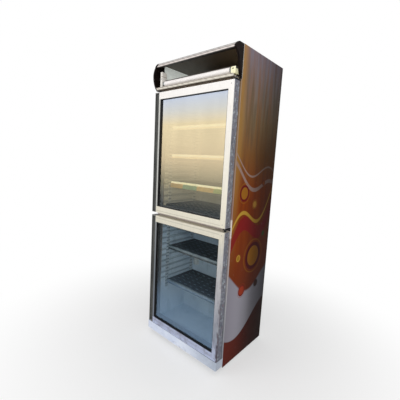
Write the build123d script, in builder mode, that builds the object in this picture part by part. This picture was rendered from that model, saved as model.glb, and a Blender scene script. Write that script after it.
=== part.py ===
from build123d import *
import os
from math import cos, radians, sin

os.makedirs("parts", exist_ok=True)

# An upright display refrigerator with two half-height glass doors and an open light box on top.
# Millimetres. +X is to the viewer's right, -Y to the front, +Z up.
# The origin is on the floor, in the middle of the footprint.

# Overall sizes
overall_height = 2000.0
cabinet_width = 675.0
panel_depth = 484.0
header_proud = 90.0
header_height = 187.5
sheet = 1.0

# Planes that the rest hangs on
half_width = cabinet_width / 2
inner_half = half_width - sheet
back = (header_proud + panel_depth + sheet) / 2
panel_back = back - sheet
front = panel_back - panel_depth
roof_low = overall_height - sheet
header_low = overall_height - header_height

# Feet, rollers, base tray and side panels
roller_radius = 16.0
roller_clear = 2.0
base_level = 2 * roller_radius + roller_clear
base_sheet = 1.5
base_top = base_level + base_sheet
tray_depth = 14.0
skirt_height = base_level - tray_depth
flange = 14.5
foot_inset = 52.5
foot_setback = 45.0
roller_setback = 50.0
foot_x = half_width - foot_inset
foot_y = front + foot_setback
roller_y = panel_back - roller_setback
stud_radius = 5.0
turning_gap = 0.05
nut_radius = stud_radius + turning_gap
boss_radius = 10.0
boss_height = 17.0
ear_gap = 24.0
ear_thick = 2.5
ear_depth = 26.0
ear_tip = 8.0
axle_radius = 4.0

# Door heights: the doors share the space between the plinth and the header
plinth_height = 59.0
plinth_top = base_level + plinth_height
plinth_sheet = 1.2
plinth_corner = 4.0
bracket_thick = 3.0
bracket_gap = 1.0
door_gap = 25.0
head_gap = 14.5
lower_door_base = plinth_top + bracket_thick + bracket_gap
upper_door_top = header_low - head_gap
door_height = (upper_door_top - lower_door_base - door_gap) / 2
lower_door_top = lower_door_base + door_height
upper_door_base = lower_door_top + door_gap

# Door depths, from the trims forward
trim_depth = 12.0
trim_sheet = 1.2
trim_face = front - trim_depth
gasket_depth = 10.0
door_thick = 49.0
door_back = trim_face - gasket_depth
door_front = door_back - door_thick

# Front trims and the openings of the cold spaces behind them
trim_lap = 45.0
sill_lap = 43.0
liner_lap = 2.0
floor_drop = 20.0
sill_top = lower_door_base + sill_lap
mullion_low = lower_door_top - trim_lap
mullion_high = upper_door_base + trim_lap
head_low = upper_door_top - trim_lap
lower_floor = sill_top - floor_drop
lower_ceiling = mullion_low + liner_lap
upper_floor = mullion_high - liner_lap
upper_ceiling = head_low + liner_lap
flange_split = (lower_door_top + upper_door_base) / 2

# Insulated walls and liners
side_wall = 49.5
back_wall = 47.0
roof_wall_rise = 9.5
liner_skin = 1.5
liner_half = half_width - side_wall
foam_half = liner_half + liner_skin
foam_front = front + sheet
foam_back = panel_back - 2 * sheet
foam_top = header_low + roof_wall_rise
cold_back = foam_back - back_wall - liner_skin

# Compressor, and the machine compartment that is sized by it
compressor_radius = 72.0
compressor_height = 165.0
compressor_behind = 10.0
compressor_before = 12.5
grommet_height = 12.0
foot_plate = 3.0
plate_low = base_top + grommet_height
shell_low = plate_low + foot_plate
head_room = 67.5
machine_top = shell_low + compressor_height + head_room
compressor_y = panel_back - compressor_behind - compressor_radius
machine_front = compressor_y - compressor_radius - compressor_before
step_wall = 46.0
step_roof = 45.5
step_front = machine_front - step_wall - liner_skin
step_level = machine_top + step_roof + liner_skin

# Fan and condenser, side by side with the compressor
fan_radius = 88.0
coil_margin = 16.5
coil_side_margin = 27.0
coil_inset = 27.5
coil_thick = 25.0
coil_gap = 118.0
coil_behind = 14.5
coil_left = -half_width + coil_inset
fan_x = coil_left + coil_side_margin + fan_radius
coil_right = fan_x + fan_radius + coil_side_margin
fan_z = base_top + coil_margin + fan_radius
coil_top = fan_z + fan_radius + coil_margin
coil_front = machine_front + coil_behind
compressor_x = coil_right + coil_gap + compressor_radius

# Control dish in the rear cover, under the back panel
control_width = 200.0
control_height = 56.0
control_depth = 24.0
dish_wall = 2.0
dish_rim = 12.0
dish_corner = 6.0
dish_clear = 1.0
control_inset = 147.5
control_x = half_width - control_inset
control_z = machine_top - dish_clear - dish_rim - control_height / 2
control_pitch = 60.0
dish_floor = panel_back - control_depth
cover_lap = 62.0
rear_cover_top = machine_top + cover_lap

# Shelves and what carries them
duct_depth = 61.5
cover_front = cold_back - duct_depth
cover_sheet = 1.5
shelf_clear = 11.0
shelf_setback = 60.0
shelf_behind = 20.0
shelf_half = liner_half - shelf_clear
shelf_front = front + shelf_setback
shelf_back = cover_front - shelf_behind
shelf_sheet = 1.2
shelf_lip = 14.0
upper_first_rise = 181.0
upper_shelf_pitch = 200.0
lower_first_rise = 82.0
lower_shelf_pitch = 275.0
upper_levels = [upper_floor + upper_first_rise + n * upper_shelf_pitch for n in range(3)]
lower_levels = [step_level + lower_first_rise + n * lower_shelf_pitch for n in range(2)]
pilaster_width = 26.0
pilaster_thick = 6.0
pilaster_lead = 15.0
pilaster_fronts = (shelf_front - pilaster_lead, cover_front - 2 * pilaster_width)
pilaster_face = liner_half - pilaster_thick
grille_height = 15.0
grille_top = upper_floor + grille_height

# Ribs moulded in the liners' side walls, between the pilasters
rib_pitch = 30.0
rib_height = 12.0
rib_proud = 5.0
rib_gap = 3.0
rib_space = 1.0
rib_front = pilaster_fronts[0] + pilaster_width + rib_gap
rib_back = pilaster_fronts[1] - rib_gap
upper_rib_rise = 31.0
lower_rib_rise = 86.0
ledge_rise = 164.0
upper_rib_base = upper_floor + upper_rib_rise
lower_rib_base = step_level + lower_rib_rise
ledge_level = step_level + ledge_rise
ledge_height = 30.0

# Door sections
door_side_gap = 0.5
door_side = half_width - door_side_gap
profile_wall = 2.0
rail_width = 46.0
hinge_stile_width = 39.0
lip_width = 12.0
lip_thick = 11.0
handle_body = 50.0
handle_wall = 2.5
cap_thick = 4.0
cap_proud = 0.5
glass_thick = 4.0
glass_space = 12.0
glass_edge = 2.0
seal_thick = 2.5
seal_foot = 4.0
seal_bed = 2.0
seal_recess = 1.0
spacer_depth = 7.0
spacer_show = 6.0
bead_show = 3.0
gasket_inset = 19.0
gasket_width = 22.0
gasket_wall = 1.6
gasket_base = 2.0
magnet_thick = 3.5
gasket_clear = 0.3

# Hinges
pivot_inset = 16.0
pivot_x = half_width - pivot_inset
pivot_y = (door_front + door_back) / 2
pin_radius = 4.0
bush_radius = pin_radius + turning_gap
pin_hole_clear = 1.5
pin_reach = 22.0
plug_height = 28.0
plug_clear = 0.3
collar_radius = 7.0
collar_clear = 0.1
plate_width = 39.0
plate_edge = 1.0
plate_slope = 14.0
nose_reach = 12.0
nose_half = 10.0
leg_clear = 2.0
head_clear = 1.0

# Header
cap_wall = 15.5
cap_rim = 9.0
cap_plate = 4.0
cap_inner = half_width - cap_wall
tongue_thick = 4.0
tongue_front = 12.0
tongue_reach = 14.0
tongue_seat = 2.0
bulge_rise = 65.5
header_bulge = header_low + bulge_rise
roof_reach = 40.0
roof_front = front - roof_reach
floor_reach = 48.0
floor_edge = front - floor_reach
lamp_rise = 55.5
lamp_level = header_low + lamp_rise
lamp_radius = 13.0
lamp_left_inset = 67.5
lamp_right_inset = 41.5
lamp_left = -half_width + lamp_left_inset
lamp_right = half_width - lamp_right_inset


def keep(piece, name):
    """Label a finished piece and write it."""
    piece.part.label = name
    export_step(piece.part, f"parts/{name}.step")


def outline(points, mode=Mode.ADD):
    """Fill a closed outline in the sketch that is open."""
    with BuildLine() as border:
        Polyline(*points, close=True)
    make_face(border.edges(), mode=mode)


def front_view(y):
    """The plane at depth y as seen from the front; extruding comes towards the front."""
    return Plane((0, y, 0), x_dir=(1, 0, 0), z_dir=(0, -1, 0))


def on_side(side, near, far):
    """The span along X between two distances from the middle, on one side."""
    return tuple(sorted((side * near, side * far)))


def slab(x, y, z, mode=Mode.ADD):
    """Add a block to the open part, from its limits along each axis."""
    with Locations(((x[0] + x[1]) / 2, (y[0] + y[1]) / 2, (z[0] + z[1]) / 2)):
        Box(x[1] - x[0], y[1] - y[0], z[1] - z[0], mode=mode)


def post(x, y, z, radius, mode=Mode.ADD):
    """Add an upright round post to the open part, from its ends along Z."""
    with BuildSketch(Plane.XY.offset(z[0])) as disc:
        with Locations((x, y)):
            Circle(radius)
    extrude(disc.sketch, amount=z[1] - z[0], mode=mode)


def axle(x, y, z, radius, mode=Mode.ADD):
    """Add a round bar along Y to the open part, from its ends along Y."""
    with BuildSketch(front_view(y[1])) as disc:
        with Locations((x, z)):
            Circle(radius)
    extrude(disc.sketch, amount=y[1] - y[0], mode=mode)


def crossbar(x, y, z, radius, mode=Mode.ADD):
    """Add a round bar along X to the open part, from its ends along X."""
    with BuildSketch(Plane.YZ.offset(x[0])) as disc:
        with Locations((y, z)):
            Circle(radius)
    extrude(disc.sketch, amount=x[1] - x[0], mode=mode)


def frame(limits, inset, width, y_near, y_far):
    """Add a rectangular ring to the open part: limits are x0, x1, z0, z1 before the inset."""
    x0, x1, z0, z1 = limits
    centre = ((x0 + x1) / 2, (z0 + z1) / 2)
    with BuildSketch(front_view(y_far)) as ring:
        with Locations(centre):
            Rectangle(x1 - x0 - 2 * inset, z1 - z0 - 2 * inset)
            Rectangle(x1 - x0 - 2 * (inset + width), z1 - z0 - 2 * (inset + width), mode=Mode.SUBTRACT)
    extrude(ring.sketch, amount=y_far - y_near)


# Side panels: one sheet each, folded inwards along the front and back edges
for name, side in (("left_side_panel", -1), ("right_side_panel", 1)):
    with BuildPart() as side_panel:
        with BuildSketch(Plane.XY.offset(skirt_height)):
            outline([
                (side * half_width, front),
                (side * half_width, panel_back),
                (side * (half_width - flange), panel_back),
                (side * (half_width - flange), panel_back - sheet),
                (side * inner_half, panel_back - sheet),
                (side * inner_half, front + sheet),
                (side * (half_width - flange), front + sheet),
                (side * (half_width - flange), front),
            ])
        extrude(amount=overall_height - skirt_height)
    keep(side_panel, name)


def between_panels(near_edge, far_edge):
    """Outline of a sheet that fits between the header caps and, behind the folds, the side panels."""
    outline([
        (-cap_inner, near_edge),
        (cap_inner, near_edge),
        (cap_inner, front + sheet),
        (inner_half, front + sheet),
        (inner_half, far_edge),
        (-inner_half, far_edge),
        (-inner_half, front + sheet),
        (-cap_inner, front + sheet),
    ])


# Top panel: reaches forward between the header caps
with BuildPart() as top_panel:
    with BuildSketch(Plane.XY.offset(roof_low)):
        between_panels(roof_front, panel_back - sheet)
    extrude(amount=sheet)
keep(top_panel, "top_panel")

# Back panel: a flat sheet inside the side panels' back folds
with BuildPart() as back_panel:
    slab((-inner_half, inner_half), (foam_back, foam_back + sheet), (machine_top, roof_low))
keep(back_panel, "back_panel")

# Base tray: a sheet with its edges folded down, screwed-foot bosses and welded roller brackets
boss_span = (base_level - boss_height, base_level)
with BuildPart() as base_tray:
    slab((-inner_half, inner_half), (front + sheet, panel_back - sheet), (skirt_height, base_top))
    slab(
        (-inner_half + base_sheet, inner_half - base_sheet),
        (front + sheet + base_sheet, panel_back - sheet - base_sheet),
        (skirt_height, base_level),
        mode=Mode.SUBTRACT,
    )
    for side in (-1, 1):
        post(side * foot_x, foot_y, boss_span, boss_radius)
        post(side * foot_x, foot_y, boss_span, nut_radius, mode=Mode.SUBTRACT)
        for ear in (-1, 1):
            ear_x = side * foot_x + ear * (ear_gap + ear_thick) / 2
            with BuildSketch(Plane.YZ.offset(ear_x - ear_thick / 2)):
                outline([
                    (roller_y - ear_depth / 2, base_level),
                    (roller_y + ear_depth / 2, base_level),
                    (roller_y + ear_tip, roller_radius - ear_tip),
                    (roller_y - ear_tip, roller_radius - ear_tip),
                ])
            extrude(amount=ear_thick)
        axle_span = (side * foot_x - ear_gap / 2, side * foot_x + ear_gap / 2)
        crossbar(axle_span, roller_y, roller_radius, axle_radius)
keep(base_tray, "base_tray")

# Plinth: a folded kick plate, flush with the doors, open behind and below
with BuildPart() as plinth:
    slab((-half_width, half_width), (door_front, front), (base_level, plinth_top))
    fillet(plinth.edges().filter_by(Axis.Z).group_by(Axis.Y)[0], plinth_corner)
    slab(
        (-half_width + plinth_sheet, half_width - plinth_sheet),
        (door_front + plinth_sheet, front),
        (base_level, plinth_top - plinth_sheet),
        mode=Mode.SUBTRACT,
    )
keep(plinth, "plinth")

# Insulation: foam slabs between the outer panels and the liners
across = (-foam_half, foam_half)
cold_outer = cold_back + liner_skin
step_outer = step_level - liner_skin
floor_outer = lower_floor - liner_skin
foam_slabs = [
    (across, (cold_outer, foam_back), (step_outer, foam_top)),
    (across, (foam_front, cold_outer), (upper_ceiling + liner_skin, foam_top)),
    (across, (foam_front, cold_outer), (lower_ceiling + liner_skin, upper_floor - liner_skin)),
    (across, (foam_front, machine_front), (base_top, floor_outer)),
    (across, (step_front + liner_skin, machine_front), (floor_outer, step_outer)),
    (across, (machine_front, foam_back), (machine_top, step_outer)),
]
for side in (-1, 1):
    wall = on_side(side, foam_half, inner_half)
    foam_slabs.append((wall, (foam_front, foam_back), (machine_top, foam_top)))
    foam_slabs.append((wall, (foam_front, machine_front), (base_top, machine_top)))
foam_parts = []
for x_span, y_span, z_span in foam_slabs:
    with BuildPart() as foam:
        slab(x_span, y_span, z_span)
    foam_parts.append(foam.part)
insulation = Compound(label="insulation", children=foam_parts)
export_step(insulation, "parts/insulation.step")


def rib_levels(low, high):
    """Heights of the ribs that fit between two levels."""
    return [low + n * rib_pitch for n in range(int((high - low) / rib_pitch) + 1)]


def add_ribs(levels, height, proud):
    """Add trapezoid ribs on both side walls of the open liner."""
    with BuildSketch(front_view(rib_back)) as ribs:
        for side in (-1, 1):
            for level in levels:
                outline([
                    (side * liner_half, level - height / 2),
                    (side * (liner_half - proud), level - (height - proud) / 2),
                    (side * (liner_half - proud), level + (height - proud) / 2),
                    (side * liner_half, level + height / 2),
                ])
    extrude(ribs.sketch, amount=rib_back - rib_front)


def add_liner(cavity, outer, flange_low, flange_high):
    """Add a thin liner: outer and cavity are its outlines from the side, the flange closes the foam."""
    with BuildSketch(Plane.YZ) as skin:
        outline(outer)
    extrude(skin.sketch, amount=foam_half, both=True)
    slab(
        (-(half_width - flange), half_width - flange),
        (front, front + sheet),
        (flange_low, flange_high),
    )
    with BuildSketch(Plane.YZ) as hollow:
        outline(cavity)
    extrude(hollow.sketch, amount=liner_half, both=True, mode=Mode.SUBTRACT)


# Liners: ribbed side walls, and in the lower one the step over the machine compartment
with BuildPart() as upper_liner:
    add_liner(
        [(front, upper_floor), (cold_back, upper_floor), (cold_back, upper_ceiling), (front, upper_ceiling)],
        [
            (front, upper_floor - liner_skin),
            (cold_outer, upper_floor - liner_skin),
            (cold_outer, upper_ceiling + liner_skin),
            (front, upper_ceiling + liner_skin),
        ],
        flange_split,
        foam_top,
    )
    add_ribs(rib_levels(upper_rib_base, upper_ceiling - rib_pitch / 2), rib_height, rib_proud)
keep(upper_liner, "upper_liner")

with BuildPart() as lower_liner:
    add_liner(
        [
            (front, lower_floor),
            (step_front, lower_floor),
            (step_front, step_level),
            (cold_back, step_level),
            (cold_back, lower_ceiling),
            (front, lower_ceiling),
        ],
        [
            (front, floor_outer),
            (step_front + liner_skin, floor_outer),
            (step_front + liner_skin, step_outer),
            (cold_outer, step_outer),
            (cold_outer, lower_ceiling + liner_skin),
            (front, lower_ceiling + liner_skin),
        ],
        base_top,
        flange_split,
    )
    ledge_gap = (ledge_height + rib_height) / 2 + rib_space
    rib_rows = rib_levels(lower_rib_base, lower_ceiling - rib_pitch / 2)
    add_ribs([z for z in rib_rows if abs(z - ledge_level) > ledge_gap], rib_height, rib_proud)
    add_ribs([ledge_level], ledge_height, rib_proud)
keep(lower_liner, "lower_liner")


def channel(x, z):
    """Add a front trim of U section, face to the front, with its two long edges folded back."""
    slab(x, (trim_face, front), z)
    if z[1] - z[0] > x[1] - x[0]:
        slab((x[0] + trim_sheet, x[1] - trim_sheet), (trim_face + trim_sheet, front), z, mode=Mode.SUBTRACT)
    else:
        slab(x, (trim_face + trim_sheet, front), (z[0] + trim_sheet, z[1] - trim_sheet), mode=Mode.SUBTRACT)


# Front trims: two uprights, head and sill, and the mullion between the doors
trim_parts = []
for x_span, z_span in (
    ((-half_width, -liner_half), (plinth_top, header_low)),
    ((liner_half, half_width), (plinth_top, header_low)),
    ((-liner_half, liner_half), (head_low, foam_top)),
    ((-liner_half, liner_half), (plinth_top, sill_top)),
):
    with BuildPart() as trim:
        channel(x_span, z_span)
    trim_parts.append(trim.part)
front_trims = Compound(label="front_trims", children=trim_parts)
export_step(front_trims, "parts/front_trims.step")

with BuildPart() as mullion:
    channel((-liner_half, liner_half), (mullion_low, mullion_high))
keep(mullion, "mullion")

# Places across the door, shared by both doors
stile_left = -door_side
stile_inner = stile_left + handle_body
sight_left = stile_inner + lip_width
sight_right = door_side - hinge_stile_width
chamber = hinge_stile_width - lip_width
glass_front = door_front + lip_thick + seal_bed
inner_pane = glass_front + glass_thick + glass_space
bead_front = inner_pane + glass_thick

# Handle profile: a rounded outer edge, then a groove that the fingers hold
edge_round_width = 12.0
edge_round_depth = 13.0
groove_start = 14.0
groove_stop = 3.0
groove_centre = 29.0
groove_depth = 17.0
groove_lip = 0.8
edge_round_x = stile_left + edge_round_width
edge_round_y = door_front + edge_round_depth
groove_left = stile_left + groove_start
groove_right = stile_inner - groove_stop
groove_middle = stile_left + groove_centre
groove_floor = door_front + groove_depth


def handle_section():
    """Section of the handle profile, whose hollow follows its face at a wall's distance."""
    with BuildLine() as border:
        Line((stile_left, door_back), (stile_left, edge_round_y))
        TangentArc((stile_left, edge_round_y), (edge_round_x, door_front), tangent=(0, -1))
        Line((edge_round_x, door_front), (groove_left, door_front + groove_lip))
        ThreePointArc(
            (groove_left, door_front + groove_lip),
            (groove_left + 4.0, groove_floor - 4.0),
            (groove_middle, groove_floor),
        )
        ThreePointArc(
            (groove_middle, groove_floor),
            (groove_right - 5.5, groove_floor - 6.0),
            (groove_right, door_front),
        )
        Polyline(
            (groove_right, door_front),
            (stile_inner, door_front),
            (stile_inner, door_back),
            (stile_left, door_back),
        )
    make_face(border.edges())
    outline(
        [
            (stile_left + handle_wall, door_back - handle_wall),
            (stile_left + handle_wall, edge_round_y),
            (stile_left + 5.5, door_front + 6.0),
            (edge_round_x - 1.0, door_front + 4.0),
            (groove_left - 1.0, groove_floor - 5.0),
            (groove_left + 5.0, groove_floor + 1.5),
            (groove_middle, groove_floor + 3.0),
            (groove_right - 7.0, groove_floor),
            (stile_inner - handle_wall, groove_floor - 10.0),
            (stile_inner - handle_wall, door_back - handle_wall),
        ],
        mode=Mode.SUBTRACT,
    )


def handle_cap():
    """Outline of the cap on each end of the handle profile, a little proud and closed over the groove."""
    cap_left = stile_left - cap_proud
    cap_front = door_front - cap_proud
    cap_back = door_back + cap_proud
    with BuildLine() as border:
        Line((cap_left, cap_back), (cap_left, edge_round_y))
        TangentArc((cap_left, edge_round_y), (edge_round_x, cap_front), tangent=(0, -1))
        Polyline(
            (edge_round_x, cap_front),
            (stile_inner, cap_front),
            (stile_inner, cap_back),
            (cap_left, cap_back),
        )
    make_face(border.edges())


def door_profile(width):
    """Frame section in depth and width from the outer edge: a chamber, and the lip over the glass."""
    deep = width - lip_width
    return [
        (door_front, 0.0),
        (door_front, width),
        (door_front + lip_thick, width),
        (door_front + lip_thick, deep),
        (door_back, deep),
        (door_back, 0.0),
    ]


def door_hollow(width):
    """The hollow inside the frame section."""
    deep = width - lip_width - profile_wall
    return [
        (door_front + profile_wall, profile_wall),
        (door_front + profile_wall, width - profile_wall),
        (door_front + lip_thick - profile_wall, width - profile_wall),
        (door_front + lip_thick - profile_wall, deep),
        (door_back - profile_wall, deep),
        (door_back - profile_wall, profile_wall),
    ]


def cut_corner(corner_z, inward, third_point):
    """Cut a triangle beside the mitre line, which runs from the door's corner to the sight corner."""
    inner_z = corner_z - inward * rail_width
    with BuildSketch(front_view(door_back)) as wedge:
        outline([(door_side, corner_z), (sight_right, inner_z), third_point])
    extrude(wedge.sketch, amount=door_thick, mode=Mode.SUBTRACT)


for name, base in (("upper", upper_door_base), ("lower", lower_door_base)):
    top = base + door_height
    sight = (sight_left, sight_right, base + rail_width, top - rail_width)
    glass_limits = (
        stile_inner + glass_edge,
        door_side - chamber - glass_edge,
        base + rail_width - lip_width + glass_edge,
        top - rail_width + lip_width - glass_edge,
    )

    # Handle stile: a hollow profile with a finger groove over its whole height
    with BuildPart() as handle_stile:
        with BuildSketch(Plane.XY.offset(base + cap_thick)):
            handle_section()
        extrude(amount=door_height - 2 * cap_thick)
        slab(
            (stile_inner, sight_left),
            (door_front, door_front + lip_thick),
            (base + rail_width, top - rail_width),
        )
    keep(handle_stile, f"{name}_handle_stile")

    # Hinge stile: mitred at both ends
    with BuildPart() as hinge_stile:
        with BuildSketch(Plane.XY.offset(base)):
            outline([(door_side - w, y) for y, w in door_profile(hinge_stile_width)])
            outline([(door_side - w, y) for y, w in door_hollow(hinge_stile_width)], mode=Mode.SUBTRACT)
        extrude(amount=door_height)
        for edge, inward in ((top, 1), (base, -1)):
            cut_corner(edge, inward, (sight_right, edge))
    keep(hinge_stile, f"{name}_hinge_stile")

    # Rails: square at the handle profile, mitred at the hinge stile, drilled for the hinge pins
    with BuildPart() as door_rails:
        for edge, inward in ((top, 1), (base, -1)):
            with BuildSketch(Plane.YZ.offset(stile_inner)):
                outline([(y, edge - inward * w) for y, w in door_profile(rail_width)])
                outline([(y, edge - inward * w) for y, w in door_hollow(rail_width)], mode=Mode.SUBTRACT)
            extrude(amount=door_side - stile_inner)
            cut_corner(edge, inward, (door_side, edge - inward * rail_width))
            hole = tuple(sorted((edge - inward * (profile_wall + 1.0), edge + inward)))
            post(pivot_x, pivot_y, hole, pin_radius + pin_hole_clear, mode=Mode.SUBTRACT)
    keep(door_rails, f"{name}_door_rails")

    # End plugs: handle caps, and hinge bushes held in the corners of the frame
    with BuildPart() as end_plugs:
        for low in (base, top - cap_thick):
            with BuildSketch(Plane.XY.offset(low)):
                handle_cap()
            extrude(amount=cap_thick)
        for low in (base + profile_wall, top - profile_wall - plug_height):
            slab(
                (door_side - chamber + profile_wall + plug_clear, door_side - profile_wall - plug_clear),
                (door_front + lip_thick, door_back - profile_wall),
                (low, low + plug_height),
            )
            post(pivot_x, pivot_y, (low, low + plug_height), bush_radius, mode=Mode.SUBTRACT)
    keep(end_plugs, f"{name}_end_plugs")

    # Double glazing: two panes, the spacer frame between them, and the rubber that beds them
    with BuildPart() as glass:
        for near in (glass_front, inner_pane):
            slab(glass_limits[:2], (near, near + glass_thick), glass_limits[2:])
    keep(glass, f"{name}_glass")

    with BuildPart() as spacer:
        spacer_width = spacer_depth + seal_foot + spacer_show
        frame(sight, -spacer_depth, spacer_width, glass_front + glass_thick, inner_pane)
    keep(spacer, f"{name}_spacer")

    with BuildPart() as glazing_seal:
        bed_inset = 2 * seal_foot
        frame(sight, -bed_inset, bed_inset + seal_foot, door_front + lip_thick, glass_front)
        frame(sight, 0.0, seal_thick, door_front + seal_recess, glass_front)
    keep(glazing_seal, f"{name}_glazing_seal")

    # Glazing bead: the inner frame that clips behind the glass
    with BuildPart() as glazing_bead:
        frame(sight, -lip_width, lip_width + seal_foot + bead_show, bead_front, door_back)
    keep(glazing_bead, f"{name}_glazing_bead")

    # Magnetic gasket: a base, two thin bellows walls and the magnet pad
    gasket_limits = (-door_side, door_side, base, top)
    pad_back = trim_face - gasket_clear
    pad_front = pad_back - magnet_thick
    base_back = door_back + gasket_base
    with BuildPart() as gasket:
        frame(gasket_limits, gasket_inset, gasket_width, door_back, base_back)
        for wall_inset in (gasket_inset + 2 * gasket_wall, gasket_inset + gasket_width - 3 * gasket_wall):
            frame(gasket_limits, wall_inset, gasket_wall, base_back, pad_front)
        frame(gasket_limits, gasket_inset + gasket_base, gasket_width - 2 * gasket_base, pad_front, pad_back)
    keep(gasket, f"{name}_gasket")


def hinge_plate(level, upright):
    """Add a bracket plate at a height, and its upright leg against the trim."""
    outer = half_width - plate_edge
    inner = outer - plate_width
    nose = pivot_y - nose_reach
    with BuildSketch(Plane.XY.offset(level)) as plate:
        outline([
            (inner, trim_face),
            (outer, trim_face),
            (outer, pivot_y),
            (pivot_x + nose_half, nose),
            (pivot_x - nose_half, nose),
            (inner, pivot_y + plate_slope),
        ])
    extrude(plate.sketch, amount=bracket_thick)
    slab((inner, outer), (trim_face - bracket_thick, trim_face), upright)


# Bottom hinge: a plate on the plinth, with the pin that the lower door stands on
with BuildPart() as bottom_hinge:
    hinge_plate(plinth_top, (plinth_top, plinth_top + bracket_thick))
    post(pivot_x, pivot_y, (plinth_top, lower_door_base - collar_clear), collar_radius)
    post(pivot_x, pivot_y, (plinth_top, lower_door_base + pin_reach), pin_radius)
keep(bottom_hinge, "bottom_hinge")

# Middle hinge: one bracket in the gap between the doors, with a pin up and a pin down
middle_level = lower_door_top + (door_gap - bracket_thick) / 2
with BuildPart() as middle_hinge:
    hinge_plate(middle_level, (lower_door_top + leg_clear, upper_door_base - leg_clear))
    collar_ends = (lower_door_top + collar_clear, upper_door_base - collar_clear)
    post(pivot_x, pivot_y, collar_ends, collar_radius)
    post(pivot_x, pivot_y, (lower_door_top - pin_reach, upper_door_base + pin_reach), pin_radius)
keep(middle_hinge, "middle_hinge")

# Top hinge: a bracket under the header, with its pin down into the upper door
top_level = upper_door_top + 2 * bracket_thick
with BuildPart() as top_hinge:
    hinge_plate(top_level, (upper_door_top + head_clear, header_low))
    post(pivot_x, pivot_y, (upper_door_top + collar_clear, top_level + bracket_thick), collar_radius)
    post(pivot_x, pivot_y, (upper_door_top - pin_reach, top_level + bracket_thick), pin_radius)
keep(top_hinge, "top_hinge")

# Shelves and the base grille: slotted sheets with their four edges folded down
slot_width = 7.0
slot_share = 0.68
tray_columns = 5
shelf_rows = 2
grille_rows = 3
grille_setback = 18.0
grille_behind = 12.0


def slotted_tray(y_near, y_far, top, lip, rows):
    """Add a slotted tray to the open part, its edges folded down by the lip."""
    depth = y_far - y_near
    slab((-shelf_half, shelf_half), (y_near, y_far), (top - lip, top))
    slab(
        (-shelf_half + shelf_sheet, shelf_half - shelf_sheet),
        (y_near + shelf_sheet, y_far - shelf_sheet),
        (top - lip, top - shelf_sheet),
        mode=Mode.SUBTRACT,
    )
    column_pitch = 2 * shelf_half / (tray_columns + 0.5)
    with BuildSketch(Plane.XY.offset(top)) as slots:
        with Locations((0, (y_near + y_far) / 2)):
            with GridLocations(column_pitch, depth / (rows + 0.5), tray_columns, rows):
                Rectangle(slot_share * column_pitch, slot_width)
    extrude(slots.sketch, amount=-shelf_sheet, mode=Mode.SUBTRACT)


with BuildPart() as shelf:
    slotted_tray(shelf_front, shelf_back, 0.0, shelf_lip, shelf_rows)

with BuildPart() as shelves:
    with Locations(*[(0, 0, level) for level in upper_levels + lower_levels]):
        add(shelf.part)
keep(shelves, "shelves")

with BuildPart() as base_grille:
    slotted_tray(
        front + grille_setback, cover_front - grille_behind, grille_top, grille_height, grille_rows
    )
keep(base_grille, "base_grille")

# Price rails: a strip hooked over each shelf's front edge, with lips that hold the labels
rail_high = 26.0
rail_lip = 2.0
rail_hook = 8.0
rail_depth = 6.0
label_depth = 1.0
rail_face = shelf_front - rail_lip
rail_bottom_lip = shelf_front - rail_depth


def price_rail(level):
    """Add one price rail to the open part."""
    foot = level - rail_high
    with BuildSketch(Plane.YZ.offset(-shelf_half)) as strip:
        outline([
            (shelf_front + rail_hook, level),
            (shelf_front + rail_hook, level + rail_lip),
            (rail_bottom_lip + label_depth, level + rail_lip),
            (rail_bottom_lip + label_depth, level - rail_lip),
            (rail_face, level - rail_lip),
            (rail_face, foot + 2 * rail_lip),
            (rail_bottom_lip, foot + 2 * rail_lip),
            (rail_bottom_lip, foot),
            (shelf_front, foot),
            (shelf_front, level),
        ])
    extrude(strip.sketch, amount=2 * shelf_half)


with BuildPart() as price_rails:
    for level in upper_levels + lower_levels:
        price_rail(level)
keep(price_rails, "price_rails")

# Shelf supports: slotted pilaster strips on the liner walls, and the clips that carry the shelves
hook_pitch = 150.0
hook_width = 11.0
hook_height = 24.0
clip_width = 10.0
clip_height = 9.0
clip_tip = 3.0
clip_lap = 9.0
clip_setback = 6.0
clip_reach = shelf_half - clip_lap
pilaster_foot = 7.0
pilaster_step = 20.0
pilaster_head = 10.0


def pilaster(side, near, low, high):
    """Add one pilaster strip, with its column of hook slots."""
    wall = on_side(side, pilaster_face, liner_half)
    slab(wall, (near, near + pilaster_width), (low, high))
    middle = near + pilaster_width / 2
    count = int((high - low) / hook_pitch)
    with BuildSketch(Plane.YZ.offset(wall[0])) as hooks:
        with Locations(*[(middle, low + (n + 0.5) * hook_pitch) for n in range(count)]):
            Rectangle(hook_width, hook_height)
    extrude(hooks.sketch, amount=pilaster_thick, mode=Mode.SUBTRACT)


def clip(side, middle, seat):
    """Add one clip under a shelf, from the pilaster inwards."""
    with BuildSketch(front_view(middle + clip_width / 2)) as wedge:
        outline([
            (side * pilaster_face, seat),
            (side * clip_reach, seat),
            (side * clip_reach, seat - clip_tip),
            (side * pilaster_face, seat - clip_height),
        ])
    extrude(wedge.sketch, amount=clip_width)


with BuildPart() as shelf_supports:
    for low, high, levels in (
        (upper_floor + pilaster_foot, upper_ceiling - pilaster_head, upper_levels),
        (step_level + pilaster_step, lower_ceiling - pilaster_head, lower_levels),
    ):
        for side in (-1, 1):
            for near in pilaster_fronts:
                pilaster(side, near, low, high)
            for level in levels:
                for middle in (shelf_front + clip_setback, pilaster_fronts[1] + pilaster_width / 2):
                    clip(side, middle, level - shelf_lip)
keep(shelf_supports, "shelf_supports")

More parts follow.
